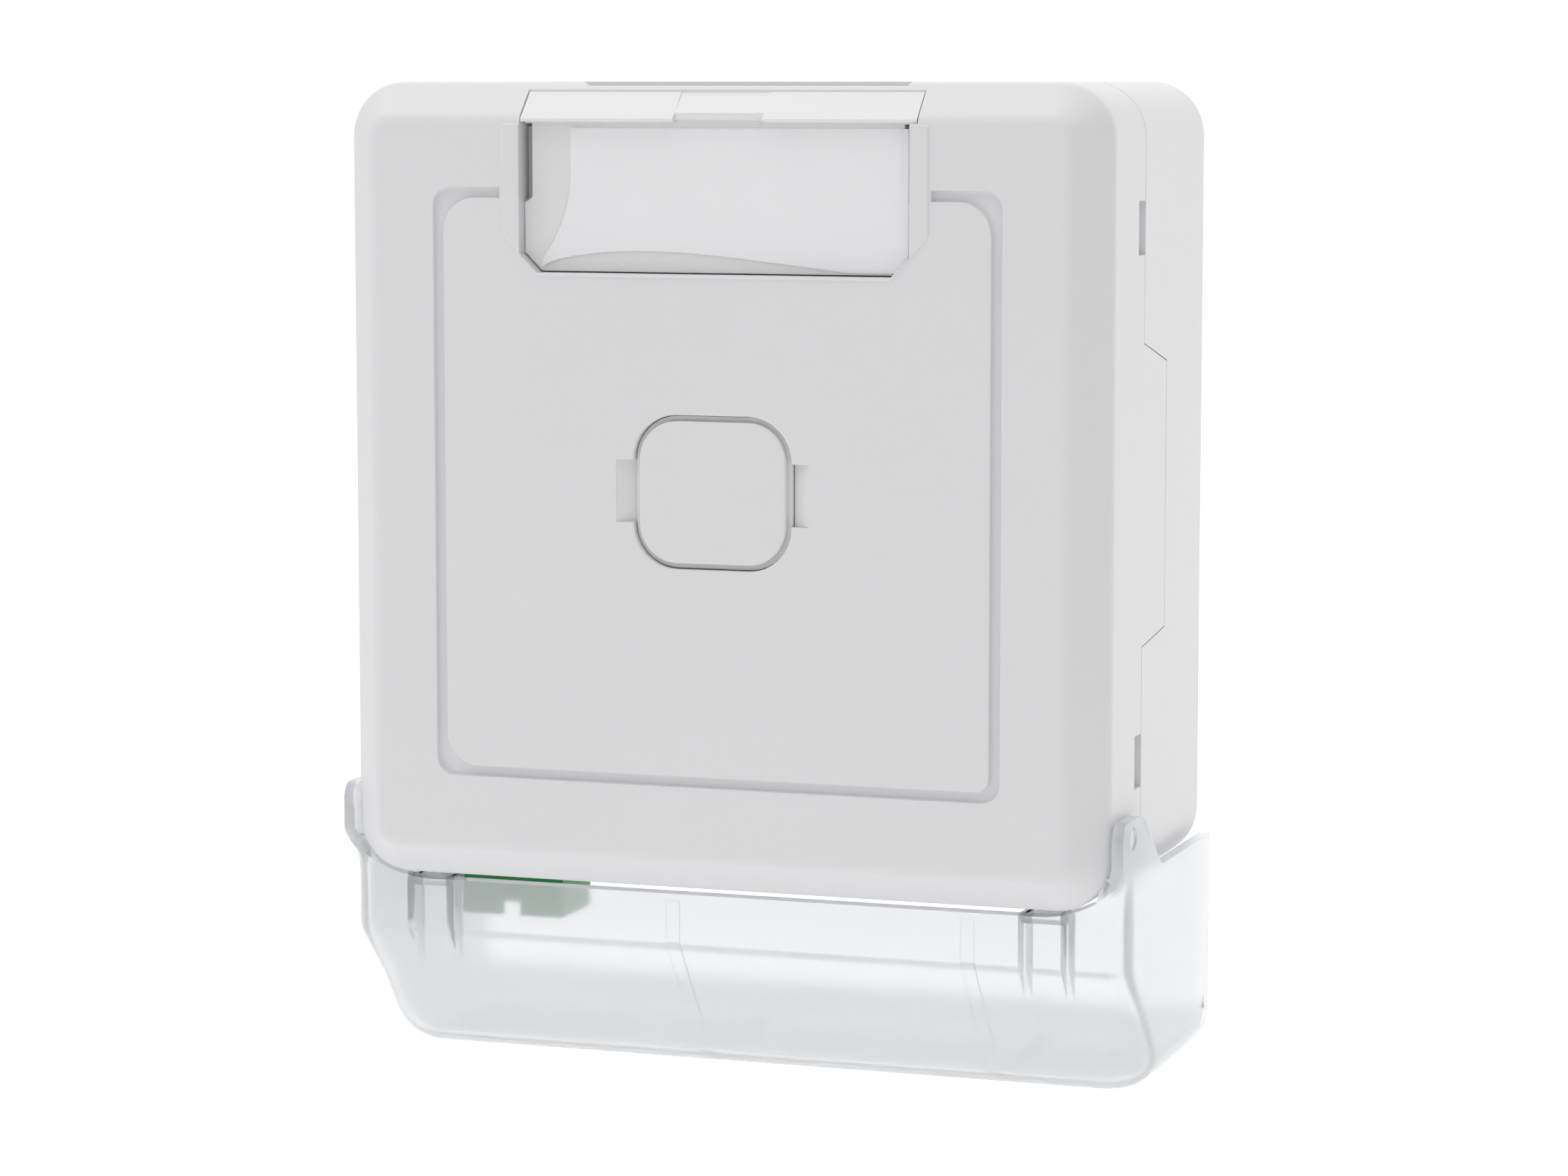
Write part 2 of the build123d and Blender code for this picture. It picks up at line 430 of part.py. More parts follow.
def entry_grommet():
    place = Pos(ENTRY_X, ENTRY_Z)
    corner = ENTRY_H / 2 - GROMMET_EASE
    ring = place * RectangleRounded(ENTRY_W, ENTRY_H, corner)
    wide = place * RectangleRounded(ENTRY_W + 2 * GROMMET_LIP, ENTRY_H + 2 * GROMMET_LIP,
                                    corner + GROMMET_LIP)
    hole = place * RectangleRounded(ENTRY_W - 2 * GROMMET_WALL, ENTRY_H - 2 * GROMMET_WALL,
                                    corner - GROMMET_WALL)
    grommet = plate(ring, 0, -BACK_WALL) + plate(wide, -BACK_WALL, -BACK_WALL - GROMMET_LIP)
    return grommet - plate(hole, 1, -BACK_WALL - GROMMET_LIP - 1)


# ---------------------------------------------------------------- front cover
def soft_block(inset, back_y, front_y, bevel, soften):
    """A slab of the housing's outline whose front edge is a wide chamfer with softened edges."""
    slab = plate(outline(inset), back_y, front_y)
    front = slab.faces().sort_by(Axis.Y)[0]
    slab = chamfer(front.edges(), bevel)
    if soften:
        front = slab.faces().sort_by(Axis.Y)[0]
        slab = fillet(front.edges(), soften)
    return slab


def window_shape(inset, top):
    half, low, cut = WINDOW_HALF_W - inset, WINDOW_BOTTOM + inset, WINDOW_CUT_CORNER
    return polygon((-half, low + cut), (-half + cut, low), (half - cut, low), (half, low + cut), (half, top),
                   (-half, top))


def boss_shape():
    foot = WINDOW_BOTTOM - BOSS_FOOT
    inner = WINDOW_HALF_W - WINDOW_CUT_CORNER
    return polygon((-BOSS_HALF_W, BOSS_BOTTOM), (-inner, foot), (inner, foot), (BOSS_HALF_W, BOSS_BOTTOM),
                   (BOSS_HALF_W, CHAMFER_Z - 0.3), (-BOSS_HALF_W, CHAMFER_Z - 0.3))


def frame_groove():
    middle = (FRAME_TOP + FRAME_BOTTOM) / 2
    width, height = 2 * FRAME_HALF_W, FRAME_TOP - FRAME_BOTTOM
    inner_w, inner_h = width - 2 * FRAME_GROOVE_W, height - 2 * FRAME_GROOVE_W
    island = RectangleRounded(inner_w, inner_h, FRAME_INNER_R)
    corner = Pos((inner_w - FRAME_TIGHT_SIZE) / 2, (FRAME_TIGHT_SIZE - inner_h) / 2)
    island += corner * RectangleRounded(FRAME_TIGHT_SIZE, FRAME_TIGHT_SIZE, FRAME_TIGHT_R)
    ring = Pos(0, middle) * (RectangleRounded(width, height, FRAME_OUTER_R) - island)
    ring -= Pos(0, FRAME_TOP) * Rectangle(2 * (BOSS_HALF_W + FRAME_END_GAP), 8)
    return plate(ring, FACE_Y + FRAME_GROOVE_D, FACE_Y - 1)


def cap_well_shape(grow=0.0):
    edge = CAP_RING + grow
    return RectangleRounded(CAP_W + 2 * edge, CAP_H + 2 * edge, CAP_R + edge)


def finger_notches():
    """Two ramps beside the cap, deepest where they meet its ring."""
    half, start, above = FINGER_NOTCH_H / 2, CAP_W / 2 + CAP_RING - 0.1, FACE_Y - 0.5
    end = start + FINGER_NOTCH_W
    ramp = polygon((start, above), (end, above), (end, FACE_Y), (start, FACE_Y + FINGER_NOTCH_D))
    return both_sides(extrude(Plane.XY.offset(-half) * ramp, amount=2 * half))


def front_cover():
    outside = soft_block(0, SEAM_Y, FACE_Y, CHAMFER, CHAMFER_SOFTEN)
    body = outside - soft_block(SIDE_WALL, SEAM_Y + 1, FACE_Y + FACE_WALL, CAVITY_CHAMFER, 0)
    rebate = plate(outline(SIDE_WALL - LIP_WALL - SEAM), SEAM_Y + 1, SEAM_Y - LIP_LENGTH - SEAM)
    body -= rebate
    tongue = across(tongue_shape(), WIDTH / 2 - SIDE_WALL, WIDTH / 2)
    root = block(WIDTH / 2 - SIDE_WALL, WIDTH / 2, SEAM_Y - LIP_LENGTH - 1, SEAM_Y,
                 TONGUE_BOTTOM, TONGUE_TOP)
    body += both_sides(tongue + root)
    for height in PRY_HEIGHTS:
        cut = block(WIDTH / 2 - PRY_SIDE_DEPTH, WIDTH / 2 + 1, SEAM_Y - PRY_DEPTH, SEAM_Y + 1,
                    height - PRY_LENGTH / 2, height + PRY_LENGTH / 2)
        body -= both_sides(cut)
    tub = plate(window_shape(-POCKET_RIM, TOP - 0.6), POCKET_Y + POCKET_FLOOR, FACE_Y + 1)
    body += tub & outside
    body += plate(boss_shape(), FACE_Y + 0.5, FACE_Y - BOSS_RAISE)
    body -= plate(window_shape(0, TOP + 1), POCKET_Y, FACE_Y - 1)
    body -= block(TOP_RECESS_LEFT, TOP_RECESS_RIGHT, FACE_Y, SEAM_Y - LIP_LENGTH,
                  TOP - TOP_RECESS_D, TOP + 1)
    well = plate(cap_well_shape(CAP_WELL_WALL), WELL_BACK_Y, FACE_Y + 1)
    body += well
    body -= plate(cap_well_shape(), WELL_Y, FACE_Y - 1)
    body -= rod(SCREW_R + RUNNING_FIT, 0, 0, WELL_BACK_Y + 1, WELL_Y - 1)
    body -= finger_notches() + frame_groove()
    body += both_sides(pin_x(PIVOT_R, PIVOT_Y, PIVOT_Z, WIDTH / 2 - PIN_ROOT, FLAP_OUTSIDE_X - PIN_SHORT))
    return body


def label_holder():
    """White insert in the label pocket: a plate behind the card and two lips over its top edge."""
    back = plate(window_shape(SEAM, LIP_TOP), POCKET_Y, HOLDER_Y)
    slope = FACE_Y + LIP_SETBACK
    rise = LIP_TOP - CHAMFER_Z
    section = polygon((POCKET_Y, LIP_BOTTOM), (slope, LIP_BOTTOM), (slope, CHAMFER_Z),
                      (slope + rise, LIP_TOP), (POCKET_Y, LIP_TOP))
    half = WINDOW_HALF_W - SEAM
    notch_bottom = TAB_TOP + MOVING_GAP
    low = polygon((POCKET_Y, notch_bottom), (HOLDER_Y - LIP_LEDGE, notch_bottom),
                  (slope + rise + NOTCH_DEPTH, LIP_TOP), (POCKET_Y, LIP_TOP))
    lips = across(section, -half, NOTCH_LEFT) + across(section, NOTCH_RIGHT, half)
    return back + lips + across(low, NOTCH_LEFT - 0.01, NOTCH_RIGHT + 0.01)


def label_card():
    return plate(window_shape(CARD_MARGIN, PANE_TOP - CARD_TOP_GAP), HOLDER_Y, CARD_Y)


def label_window():
    """Clear pane with side notches for the latches and a thumb tab between the lips."""
    pane = plate(window_shape(MOVING_GAP, PANE_TOP), PANE_Y, PANE_Y - PANE_THICK)
    for side in (-1, 1):
        edge = side * (WINDOW_HALF_W - MOVING_GAP)
        pane -= block(min(edge, edge - side * SLOT_WIDTH), max(edge, edge - side * SLOT_WIDTH),
                      PANE_Y - PANE_THICK - 1, PANE_Y + 1, SLOT_BOTTOM, TOP)
    left, right, root = TAB_OFFSET - TAB_HALF_W, TAB_HALF_W + TAB_SLANT, PANE_TOP - TAB_ROOT
    tab = polygon((left, root), (right, root), (right, PANE_TOP), (TAB_HALF_W, TAB_TOP), (left, TAB_TOP))
    return pane + plate(tab, PANE_Y - PANE_THICK + TAB_THICK, PANE_Y - PANE_THICK)


def screw_cap():
    shape = RectangleRounded(CAP_W, CAP_H, CAP_R)
    cap = plate(shape, FACE_Y + CAP_PLATE, FACE_Y)
    front = cap.faces().sort_by(Axis.Y)[0]
    cap = fillet(front.edges(), CAP_EDGE_R)
    for side in (-1, 1):
        inner = side * (CAP_W / 2 - CAP_LEG_INSET)
        outer = inner - side * CAP_LEG_THICK
        cap += block(min(inner, outer), max(inner, outer), FACE_Y + CAP_PLATE - 0.01,
                     FACE_Y + CAP_PLATE + CAP_LEG_LENGTH, -CAP_LEG_W / 2, CAP_LEG_W / 2)
    return cap


def cover_screw():
    seat, neck_front = WELL_Y - SCREW_SEAT_GAP, WELL_BACK_Y + SLIP
    front, neck_back = seat - SCREW_HEAD_H, neck_front + RETAINER_THICK
    screw = rod(SCREW_R, 0, 0, seat + SCREW_LENGTH, seat) + rod(SCREW_HEAD_R, 0, 0, seat, front)
    neck = rod(SCREW_R + 1, 0, 0, neck_back, neck_front)
    screw -= neck - rod(SCREW_R - SCREW_NECK, 0, 0, neck_back + 1, neck_front - 1)
    return screw - block(-SCREW_HEAD_R, SCREW_HEAD_R, front - 1, front + SCREW_SLOT_D,
                         -SCREW_SLOT_W / 2, SCREW_SLOT_W / 2)


def screw_retainer():
    ring = rod(RETAINER_OUTER_R, 0, 0, WELL_BACK_Y + SLIP + RETAINER_THICK, WELL_BACK_Y + SLIP)
    return ring - rod(SCREW_R - SCREW_NECK, 0, 0, WELL_BACK_Y + 5, WELL_BACK_Y - 1)


# ---------------------------------------------------------------- flap
def flap_profile(inset):
    """The flap's section, as (y, z), moved in by inset."""
    slope = tan(radians(FLAP_SLOPE_DEG))
    shift = inset / cos(radians(FLAP_SLOPE_DEG))
    front = FACE_Y + FLAP_FRONT + inset
    floor = BOTTOM - FLAP_DROP + inset
    fold = BOTTOM - FLAP_FOLD_DROP + (shift - inset) / slope
    foot = front + (fold - floor) * slope
    back = -MOVING_GAP - inset
    top = BOTTOM + EAR_TOP + 5
    line = polygon((front, top), (front, fold), (foot, floor), (back, floor), (back, top))
    for y, z, radius in ((front, fold, FLAP_FOLD_R + inset), (foot, floor, FLAP_FOOT_R - inset),
                         (back, floor, FLAP_BACK_R - inset)):
        line = fillet(line.vertices().sort_by_distance(Vertex(y, z, 0))[0], radius)
    return line


def flap_block(inset):
    half = FLAP_OUTSIDE_X - inset
    solid = across(flap_profile(inset), -half, half)
    rounded = [edge for edge in solid.edges()
               if abs(abs(edge.center().X) - half) < 0.01 and edge.center().Z < BOTTOM + EAR_TOP
               and edge.center().Y < -MOVING_GAP - inset - 0.1]
    return fillet(rounded, FLAP_EDGE_R - inset)


def ear_shape():
    top, front, back = BOTTOM + EAR_TOP, FACE_Y + EAR_FRONT, FACE_Y + EAR_BACK
    rim, wall, root = BOTTOM + FLAP_SIDE_OVERLAP, FACE_Y + FLAP_FRONT, BOTTOM - EAR_ROOT
    shoulder, nose = (back - EAR_SLOPE, top - EAR_FALL), (front + EAR_NOSE_W, top)
    chin, neck = (front, top - EAR_NOSE_H), (front, rim + EAR_NECK_UP)
    shape = polygon((back, rim - 2), (back, rim), shoulder, nose, chin, neck, (wall + EAR_ROOT_FRONT, root),
                    (wall + EAR_ROOT_BACK, root))
    rounded = ((shoulder, EAR_SLOPE_R), (nose, EAR_NOSE_R), (chin, EAR_NOSE_R), (neck, EAR_NECK_R))
    for corner, radius in rounded:
        shape = fillet(shape.vertices().sort_by_distance(Vertex(*corner, 0))[0], radius)
    return shape


def latch(x):
    """A pair of gussets behind the front wall with a tab between them."""
    wall = FACE_Y + FLAP_FRONT + FLAP_WALL - LATCH_ROOT
    reach = wall + LATCH_REACH
    rim = BOTTOM - FLAP_RIM_DROP
    foot = rim - LATCH_FOOT
    gusset = across(polygon((wall, rim), (reach, rim), (reach, foot), (wall, foot)), 0, LATCH_RIB)
    ribs = Pos(x - LATCH_HALF_W, 0, 0) * gusset + Pos(x + LATCH_HALF_W - LATCH_RIB, 0, 0) * gusset
    ribs &= flap_block(FLAP_WALL / 2)
    return ribs + block(x - LATCH_HALF_W + 0.1, x + LATCH_HALF_W - 0.1, wall, reach, rim - LATCH_TAB, rim)


def bottom_cover():
    shell = flap_block(0) - flap_block(FLAP_WALL)
    rim_cut = Pos(0, (BOTTOM - FLAP_RIM_DROP + TOP) / 2) * RectangleRounded(
        2 * FLAP_INSIDE_X, TOP - BOTTOM + FLAP_RIM_DROP, CORNER_R + MOVING_GAP)
    shell -= plate(rim_cut, 10, FACE_Y - 10)
    rim = BOTTOM + FLAP_SIDE_OVERLAP
    shell -= block(-WIDTH, WIDTH, FACE_Y - 10, 10, rim, TOP)
    shell -= block(-FLAP_INSIDE_X, FLAP_INSIDE_X, -FLAP_BACK_R, 10, BOTTOM - FLAP_DROP + REAR_LIP, TOP)
    shell += both_sides(block(FLAP_INSIDE_X, FLAP_OUTSIDE_X, -FLAP_BACK_R, -MOVING_GAP,
                              BOTTOM - FLAP_DROP + REAR_LIP, rim))
    for x in (-LATCH_X, LATCH_X):
        shell += latch(x)
    for x in STIFFENER_X:
        stiffener = block(x - STIFFENER_W / 2, x + STIFFENER_W / 2, FACE_Y, -FLAP_BACK_R, BOTTOM - FLAP_DROP,
                          BOTTOM - FLAP_RIM_DROP - 1)
        shell += stiffener & (flap_block(FLAP_WALL / 2) - flap_block(FLAP_WALL + STIFFENER_H))
    ear = across(ear_shape(), FLAP_INSIDE_X, FLAP_OUTSIDE_X)
    ear -= pin_x(PIVOT_R + RUNNING_FIT, PIVOT_Y, PIVOT_Z, FLAP_INSIDE_X - 1, FLAP_OUTSIDE_X + 1)
    return shell + both_sides(ear)


NODES = (base_shell, brass_insert, adapter_body, adapter_insert, ceramic_sleeve, adapter_clip, splice_tray,
         splice_holder, tray_lid, tray_screws, cable_clamp, clamp_screws, entry_grommet, front_cover,
         label_holder, label_card, label_window, screw_cap, cover_screw, screw_retainer, bottom_cover)

os.makedirs("parts", exist_ok=True)
for make in NODES:
    solid = make()
    solid.label = make.__name__
    export_step(solid, f"parts/{make.__name__}.step")
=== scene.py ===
"""Looks of a fibre termination outlet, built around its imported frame.

Sizes are millimetres in the outlet's own frame and become metres when a mesh is made: the wall is
the plane y = 0, the front looks towards -Y, +Z is up.
"""

import json
import logging
import math
from dataclasses import dataclass
from enum import Enum
from typing import Iterable, Sequence

import bmesh
import bpy
from mathutils import Matrix, Vector


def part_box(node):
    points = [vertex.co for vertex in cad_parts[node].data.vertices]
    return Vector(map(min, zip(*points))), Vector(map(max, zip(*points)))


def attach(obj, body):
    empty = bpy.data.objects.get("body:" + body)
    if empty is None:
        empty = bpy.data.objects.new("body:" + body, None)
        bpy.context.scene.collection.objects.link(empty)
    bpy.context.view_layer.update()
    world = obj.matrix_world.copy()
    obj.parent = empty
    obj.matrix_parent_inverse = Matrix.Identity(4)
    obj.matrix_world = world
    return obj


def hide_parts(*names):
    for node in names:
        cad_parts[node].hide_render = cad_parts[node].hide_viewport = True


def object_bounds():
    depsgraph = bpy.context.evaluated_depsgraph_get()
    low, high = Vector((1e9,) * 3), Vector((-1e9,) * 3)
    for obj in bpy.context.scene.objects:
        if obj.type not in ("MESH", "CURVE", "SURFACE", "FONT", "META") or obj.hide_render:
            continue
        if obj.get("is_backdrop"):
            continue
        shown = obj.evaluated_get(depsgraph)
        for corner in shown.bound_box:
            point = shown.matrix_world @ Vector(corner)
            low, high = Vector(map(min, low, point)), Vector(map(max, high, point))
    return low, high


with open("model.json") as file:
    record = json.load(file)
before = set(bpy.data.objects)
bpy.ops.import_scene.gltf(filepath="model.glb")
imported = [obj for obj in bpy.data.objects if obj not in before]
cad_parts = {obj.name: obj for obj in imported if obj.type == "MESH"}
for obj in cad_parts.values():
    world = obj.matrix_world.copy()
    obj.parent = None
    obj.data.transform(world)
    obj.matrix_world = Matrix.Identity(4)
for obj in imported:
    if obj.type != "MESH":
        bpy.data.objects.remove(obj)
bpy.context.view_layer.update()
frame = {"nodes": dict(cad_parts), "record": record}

MM = 0.001
LOG = logging.getLogger("outlet")

Point2 = tuple[float, float]
Point3 = tuple[float, float, float]
Ring = list[bmesh.types.BMVert]


# ------------------------------------------------------------------------------------ outlines
@dataclass(frozen=True)
class Corner:
    """One corner of an outline, with the radius that rounds it."""

    across: float
    up: float
    radius: float = 0.0


class Outline:
    """A closed outline, listed anticlockwise, that can be drawn further in or out."""

    def __init__(self, corners: Sequence[Corner], steps: int = 8) -> None:
        """Keep the corners.

        Args:
            corners: the corners, anticlockwise.
            steps: how many runs make each round corner.
        """
        self.corners = list(corners)
        self.steps = steps

    def drawn(self, inset: float = 0.0) -> list[Point2]:
        """The outline's points.

        Args:
            inset: how far in from the outline as listed; negative is out.

        Returns:
            The points, as many at every inset.
        """
        count = len(self.corners)
        points: list[Point2] = []
        for index, corner in enumerate(self.corners):
            before, after = self.corners[index - 1], self.corners[(index + 1) % count]
            arriving = Vector((corner.across - before.across, corner.up - before.up)).normalized()
            leaving = Vector((after.across - corner.across, after.up - corner.up)).normalized()
            turn = math.atan2(arriving.cross(leaving), arriving.dot(leaving))
            inward = Vector((-arriving.y, arriving.x))
            inward_next = Vector((-leaving.y, leaving.x))
            place = Vector((corner.across, corner.up))
            place += (inward + inward_next) * inset / (1 + inward.dot(inward_next))
            if corner.radius <= 0:
                points.append((place.x, place.y))
                continue
            side = 1.0 if turn > 0 else -1.0
            radius = max(corner.radius - side * inset, 0.02)
            start = place - arriving * radius * math.tan(abs(turn) / 2)
            centre = start + inward * radius * side
            for step in range(self.steps + 1):
                spoke = Matrix.Rotation(turn * step / self.steps, 2) @ (start - centre)
                points.append((centre.x + spoke.x, centre.y + spoke.y))
        return points


def rounded_path(corners: Sequence[Corner], steps: int = 6) -> list[Point2]:
    """The points of an open path whose inner corners are rounded.

    Args:
        corners: the path's corners; the radii of its two ends aren't used.
        steps: how many runs make each round corner.

    Returns:
        The points from one end to the other.
    """
    points = [(corners[0].across, corners[0].up)]
    for before, corner, after in zip(corners, corners[1:], corners[2:]):
        arriving = Vector((corner.across - before.across, corner.up - before.up)).normalized()
        leaving = Vector((after.across - corner.across, after.up - corner.up)).normalized()
        turn = math.atan2(arriving.cross(leaving), arriving.dot(leaving))
        if corner.radius <= 0 or abs(turn) < 0.01:
            points.append((corner.across, corner.up))
            continue
        side = 1.0 if turn > 0 else -1.0
        start = Vector((corner.across, corner.up)) - arriving * corner.radius * math.tan(abs(turn) / 2)
        centre = start + Vector((-arriving.y, arriving.x)) * corner.radius * side
        for step in range(steps + 1):
            spoke = Matrix.Rotation(turn * step / steps, 2) @ (start - centre)
            points.append((centre.x + spoke.x, centre.y + spoke.y))
    points.append((corners[-1].across, corners[-1].up))
    return points


def rounded_rectangle(width: float, height: float, radius: float, middle: Point2 = (0, 0),
                      steps: int = 8) -> Outline:
    """A rectangle with round corners.

    Args:
        width: its full width.
        height: its full height.
        radius: its corner radius.
        middle: its middle.
        steps: how many runs make each round corner.

    Returns:
        The outline.
    """
    across, up = middle
    return Outline([Corner(across + x * width / 2, up + z * height / 2, radius)
                    for x, z in ((-1, -1), (1, -1), (1, 1), (-1, 1))], steps)


def smooth_step(value: float) -> float:
    """A share from 0 to 1 that leaves and arrives gently."""
    share = min(max(value, 0.0), 1.0)
    return share * share * (3 - 2 * share)


# ------------------------------------------------------------------------------------ mesh making
class Side(Enum):
    """The two sides of the outlet, as seen from the front."""

    LEFT = -1
    RIGHT = 1


class Sketch:
    """One mesh in the making, in millimetres."""

    def __init__(self) -> None:
        """Start empty."""
        self.mesh = bmesh.new()

    def ring(self, points: Iterable[Point3]) -> Ring:
        """Points of the mesh, in order, as a ring or a row."""
        return [self.mesh.verts.new(Vector(point) * MM) for point in points]

    def front_ring(self, points: Iterable[Point2], y: float) -> Ring:
        """A ring in a plane that faces the front."""
        return self.ring((across, y, up) for across, up in points)

    def skin(self, rings: Sequence[Ring], closed: bool = True) -> None:
        """Join neighbouring rings by quads.

        Args:
            rings: rings of the same length.
            closed: whether each ring's end joins its start.
        """
        count = len(rings[0])
        for ring, following in zip(rings, rings[1:]):
            for index in range(count if closed else count - 1):
                nxt = (index + 1) % count
                corners = [ring[index], ring[nxt], following[nxt], following[index]]
                self.mesh.faces.new(list(dict.fromkeys(corners)))

    def flat(self, *rings: Ring) -> None:
        """Fill the flat region between an outer ring and any rings inside it."""
        edges = []
        for ring in rings:
            for vert, following in zip(ring, ring[1:] + ring[:1]):
                edges.append(self.mesh.edges.get((vert, following)) or self.mesh.edges.new((vert,
                                                                                            following)))
        bmesh.ops.triangle_fill(self.mesh, use_beauty=True, use_dissolve=False, edges=edges)

    def swept(self, outline: Outline, profile: Sequence[Point2], face_y: float) -> tuple[Ring, Ring]:
        """Carry a profile round an outline.

        Args:
            outline: the outline.
            profile: its points, as (inset, depth behind face_y).
            face_y: where depth 0 is.

        Returns:
            The first and the last ring.
        """
        rings = [self.front_ring(outline.drawn(inset), face_y + depth) for inset, depth in profile]
        self.skin(rings)
        return rings[0], rings[-1]

    def prism(self, points: Sequence[Point2], back_y: float, front_y: float) -> None:
        """A front-view outline made solid between two depths."""
        back, front = self.front_ring(points, back_y), self.front_ring(points, front_y)
        self.skin([back, front])
        self.mesh.faces.new(back)
        self.mesh.faces.new(front)

    def side_prism(self, points: Sequence[Point2], low_x: float, high_x: float) -> None:
        """A side-view outline, as (y, z), made solid between two places across."""
        low = self.ring((low_x, y, z) for y, z in points)
        high = self.ring((high_x, y, z) for y, z in points)
        self.skin([low, high])
        self.mesh.faces.new(low)
        self.mesh.faces.new(high)

    def block(self, low: Point3, high: Point3) -> None:
        """A box between two corners."""
        outline = [(low[0], low[2]), (high[0], low[2]), (high[0], high[2]), (low[0], high[2])]
        self.prism(outline, high[1], low[1])

    def rod(self, start: Point3, end: Point3, radii: Sequence[tuple[float, float]], steps: int = 32) -> None:
        """A turned solid.

        Args:
            start: one end of its axis.
            end: the other end.
            radii: its profile, as (share of the way from start to end, radius).
            steps: how many sides it has.
        """
        axis = Vector(end) - Vector(start)
        turned = axis.to_track_quat("Z", "Y")
        rings = []
        for share, radius in radii:
            middle = Vector(start) + axis * share
            rings.append(self.ring(tuple(middle + turned @ Vector((radius * math.cos(angle),
                                                                   radius * math.sin(angle), 0)))
                                   for angle in (2 * math.pi * step / steps for step in range(steps))))
        self.skin(rings)
        self.mesh.faces.new(rings[0])
        self.mesh.faces.new(rings[-1])

    def soften(self, width: float, steps: int = 2, limit_deg: float = 35.0) -> None:
        """Round every edge that is sharper than a limit."""
        bmesh.ops.recalc_face_normals(self.mesh, faces=self.mesh.faces[:])
        edges = [edge for edge in self.mesh.edges
                 if edge.is_manifold and edge.calc_face_angle(0.0) > math.radians(limit_deg)]
        bmesh.ops.bevel(self.mesh, geom=edges, offset=width * MM, offset_type="OFFSET", segments=steps,
                        profile=0.5, affect="EDGES", clamp_overlap=True)

    def made(self, name: str) -> bpy.types.Object:
        """The finished mesh as an object of the scene."""
        bmesh.ops.remove_doubles(self.mesh, verts=self.mesh.verts[:], dist=1e-7)
        bmesh.ops.recalc_face_normals(self.mesh, faces=self.mesh.faces[:])
        data = bpy.data.meshes.new(name)
        self.mesh.to_mesh(data)
        self.mesh.free()
        piece = bpy.data.objects.new(name, data)
        bpy.context.scene.collection.objects.link(piece)
        return piece


def settled(piece: bpy.types.Object) -> bpy.types.Object:
    """The piece with its modifiers made part of its mesh."""
    bpy.context.view_layer.update()
    seen = piece.evaluated_get(bpy.context.evaluated_depsgraph_get())
    data = bpy.data.meshes.new_from_object(seen, preserve_all_data_layers=True,
                                           depsgraph=bpy.context.evaluated_depsgraph_get())
    piece.modifiers.clear()
    piece.data = data
    return piece


class Joining(Enum):
    """What a second solid does to a first."""

    ADD = "UNION"
    CUT = "DIFFERENCE"
    KEEP = "INTERSECT"


def combined(piece: bpy.types.Object, other: bpy.types.Object, how: Joining,
             crossing: bool = False) -> bpy.types.Object:
    """Join two solids.

    Args:
        piece: the first solid.
        other: the second solid, which is used up.
        how: whether the second is added to the first or cut from it.
        crossing: whether the second's own solids run through each other.

    Returns:
        The first solid, changed.
    """
    step = piece.modifiers.new("join", "BOOLEAN")
    step.operation = how.value
    step.solver = "EXACT"
    step.use_self = crossing
    step.object = other
    settled(piece)
    bpy.data.objects.remove(other)
    return piece


def smoothed(piece: bpy.types.Object, sharp_deg: float = 32.0) -> bpy.types.Object:
    """Shade the piece smoothly, with flat faces that stay flat and sharp edges that stay sharp."""
    for face in piece.data.polygons:
        face.use_smooth = True
    piece.data.set_sharp_from_angle(angle=math.radians(sharp_deg))
    weigh = piece.modifiers.new("weigh", "WEIGHTED_NORMAL")
    weigh.mode = "FACE_AREA"
    weigh.keep_sharp = True
    return settled(piece)


# ------------------------------------------------------------------------------------ shading
class Value:
    """A socket that takes part in shader sums."""

    def __init__(self, shader: "Shader", socket: bpy.types.NodeSocket) -> None:
        """Wrap a socket of a shader's tree."""
        self.shader = shader
        self.socket = socket

    def _sum(self, operation: str, first: "Value | float", second: "Value | float") -> "Value":
        """One Math node."""
        return self.shader.value("ShaderNodeMath", {"operation": operation}, {0: first, 1: second})

    def __add__(self, other: "Value | float") -> "Value":
        """self + other."""
        return self._sum("ADD", self, other)

    def __radd__(self, other: float) -> "Value":
        """other + self."""
        return self._sum("ADD", other, self)

    def __sub__(self, other: "Value | float") -> "Value":
        """self - other."""
        return self._sum("SUBTRACT", self, other)

    def __rsub__(self, other: float) -> "Value":
        """other - self."""
        return self._sum("SUBTRACT", other, self)

    def __mul__(self, other: "Value | float") -> "Value":
        """self * other."""
        return self._sum("MULTIPLY", self, other)

    def __rmul__(self, other: float) -> "Value":
        """other * self."""
        return self._sum("MULTIPLY", other, self)

    def __truediv__(self, other: "Value | float") -> "Value":
        """self / other."""
        return self._sum("DIVIDE", self, other)

    def between(self, low: float, high: float) -> "Value":
        """0 below low, 1 above high, and a smooth rise between them."""
        return self.shader.value("ShaderNodeMapRange", {"interpolation_type": "SMOOTHSTEP", "clamp": True},
                                 {"Value": self, "From Min": low, "From Max": high})


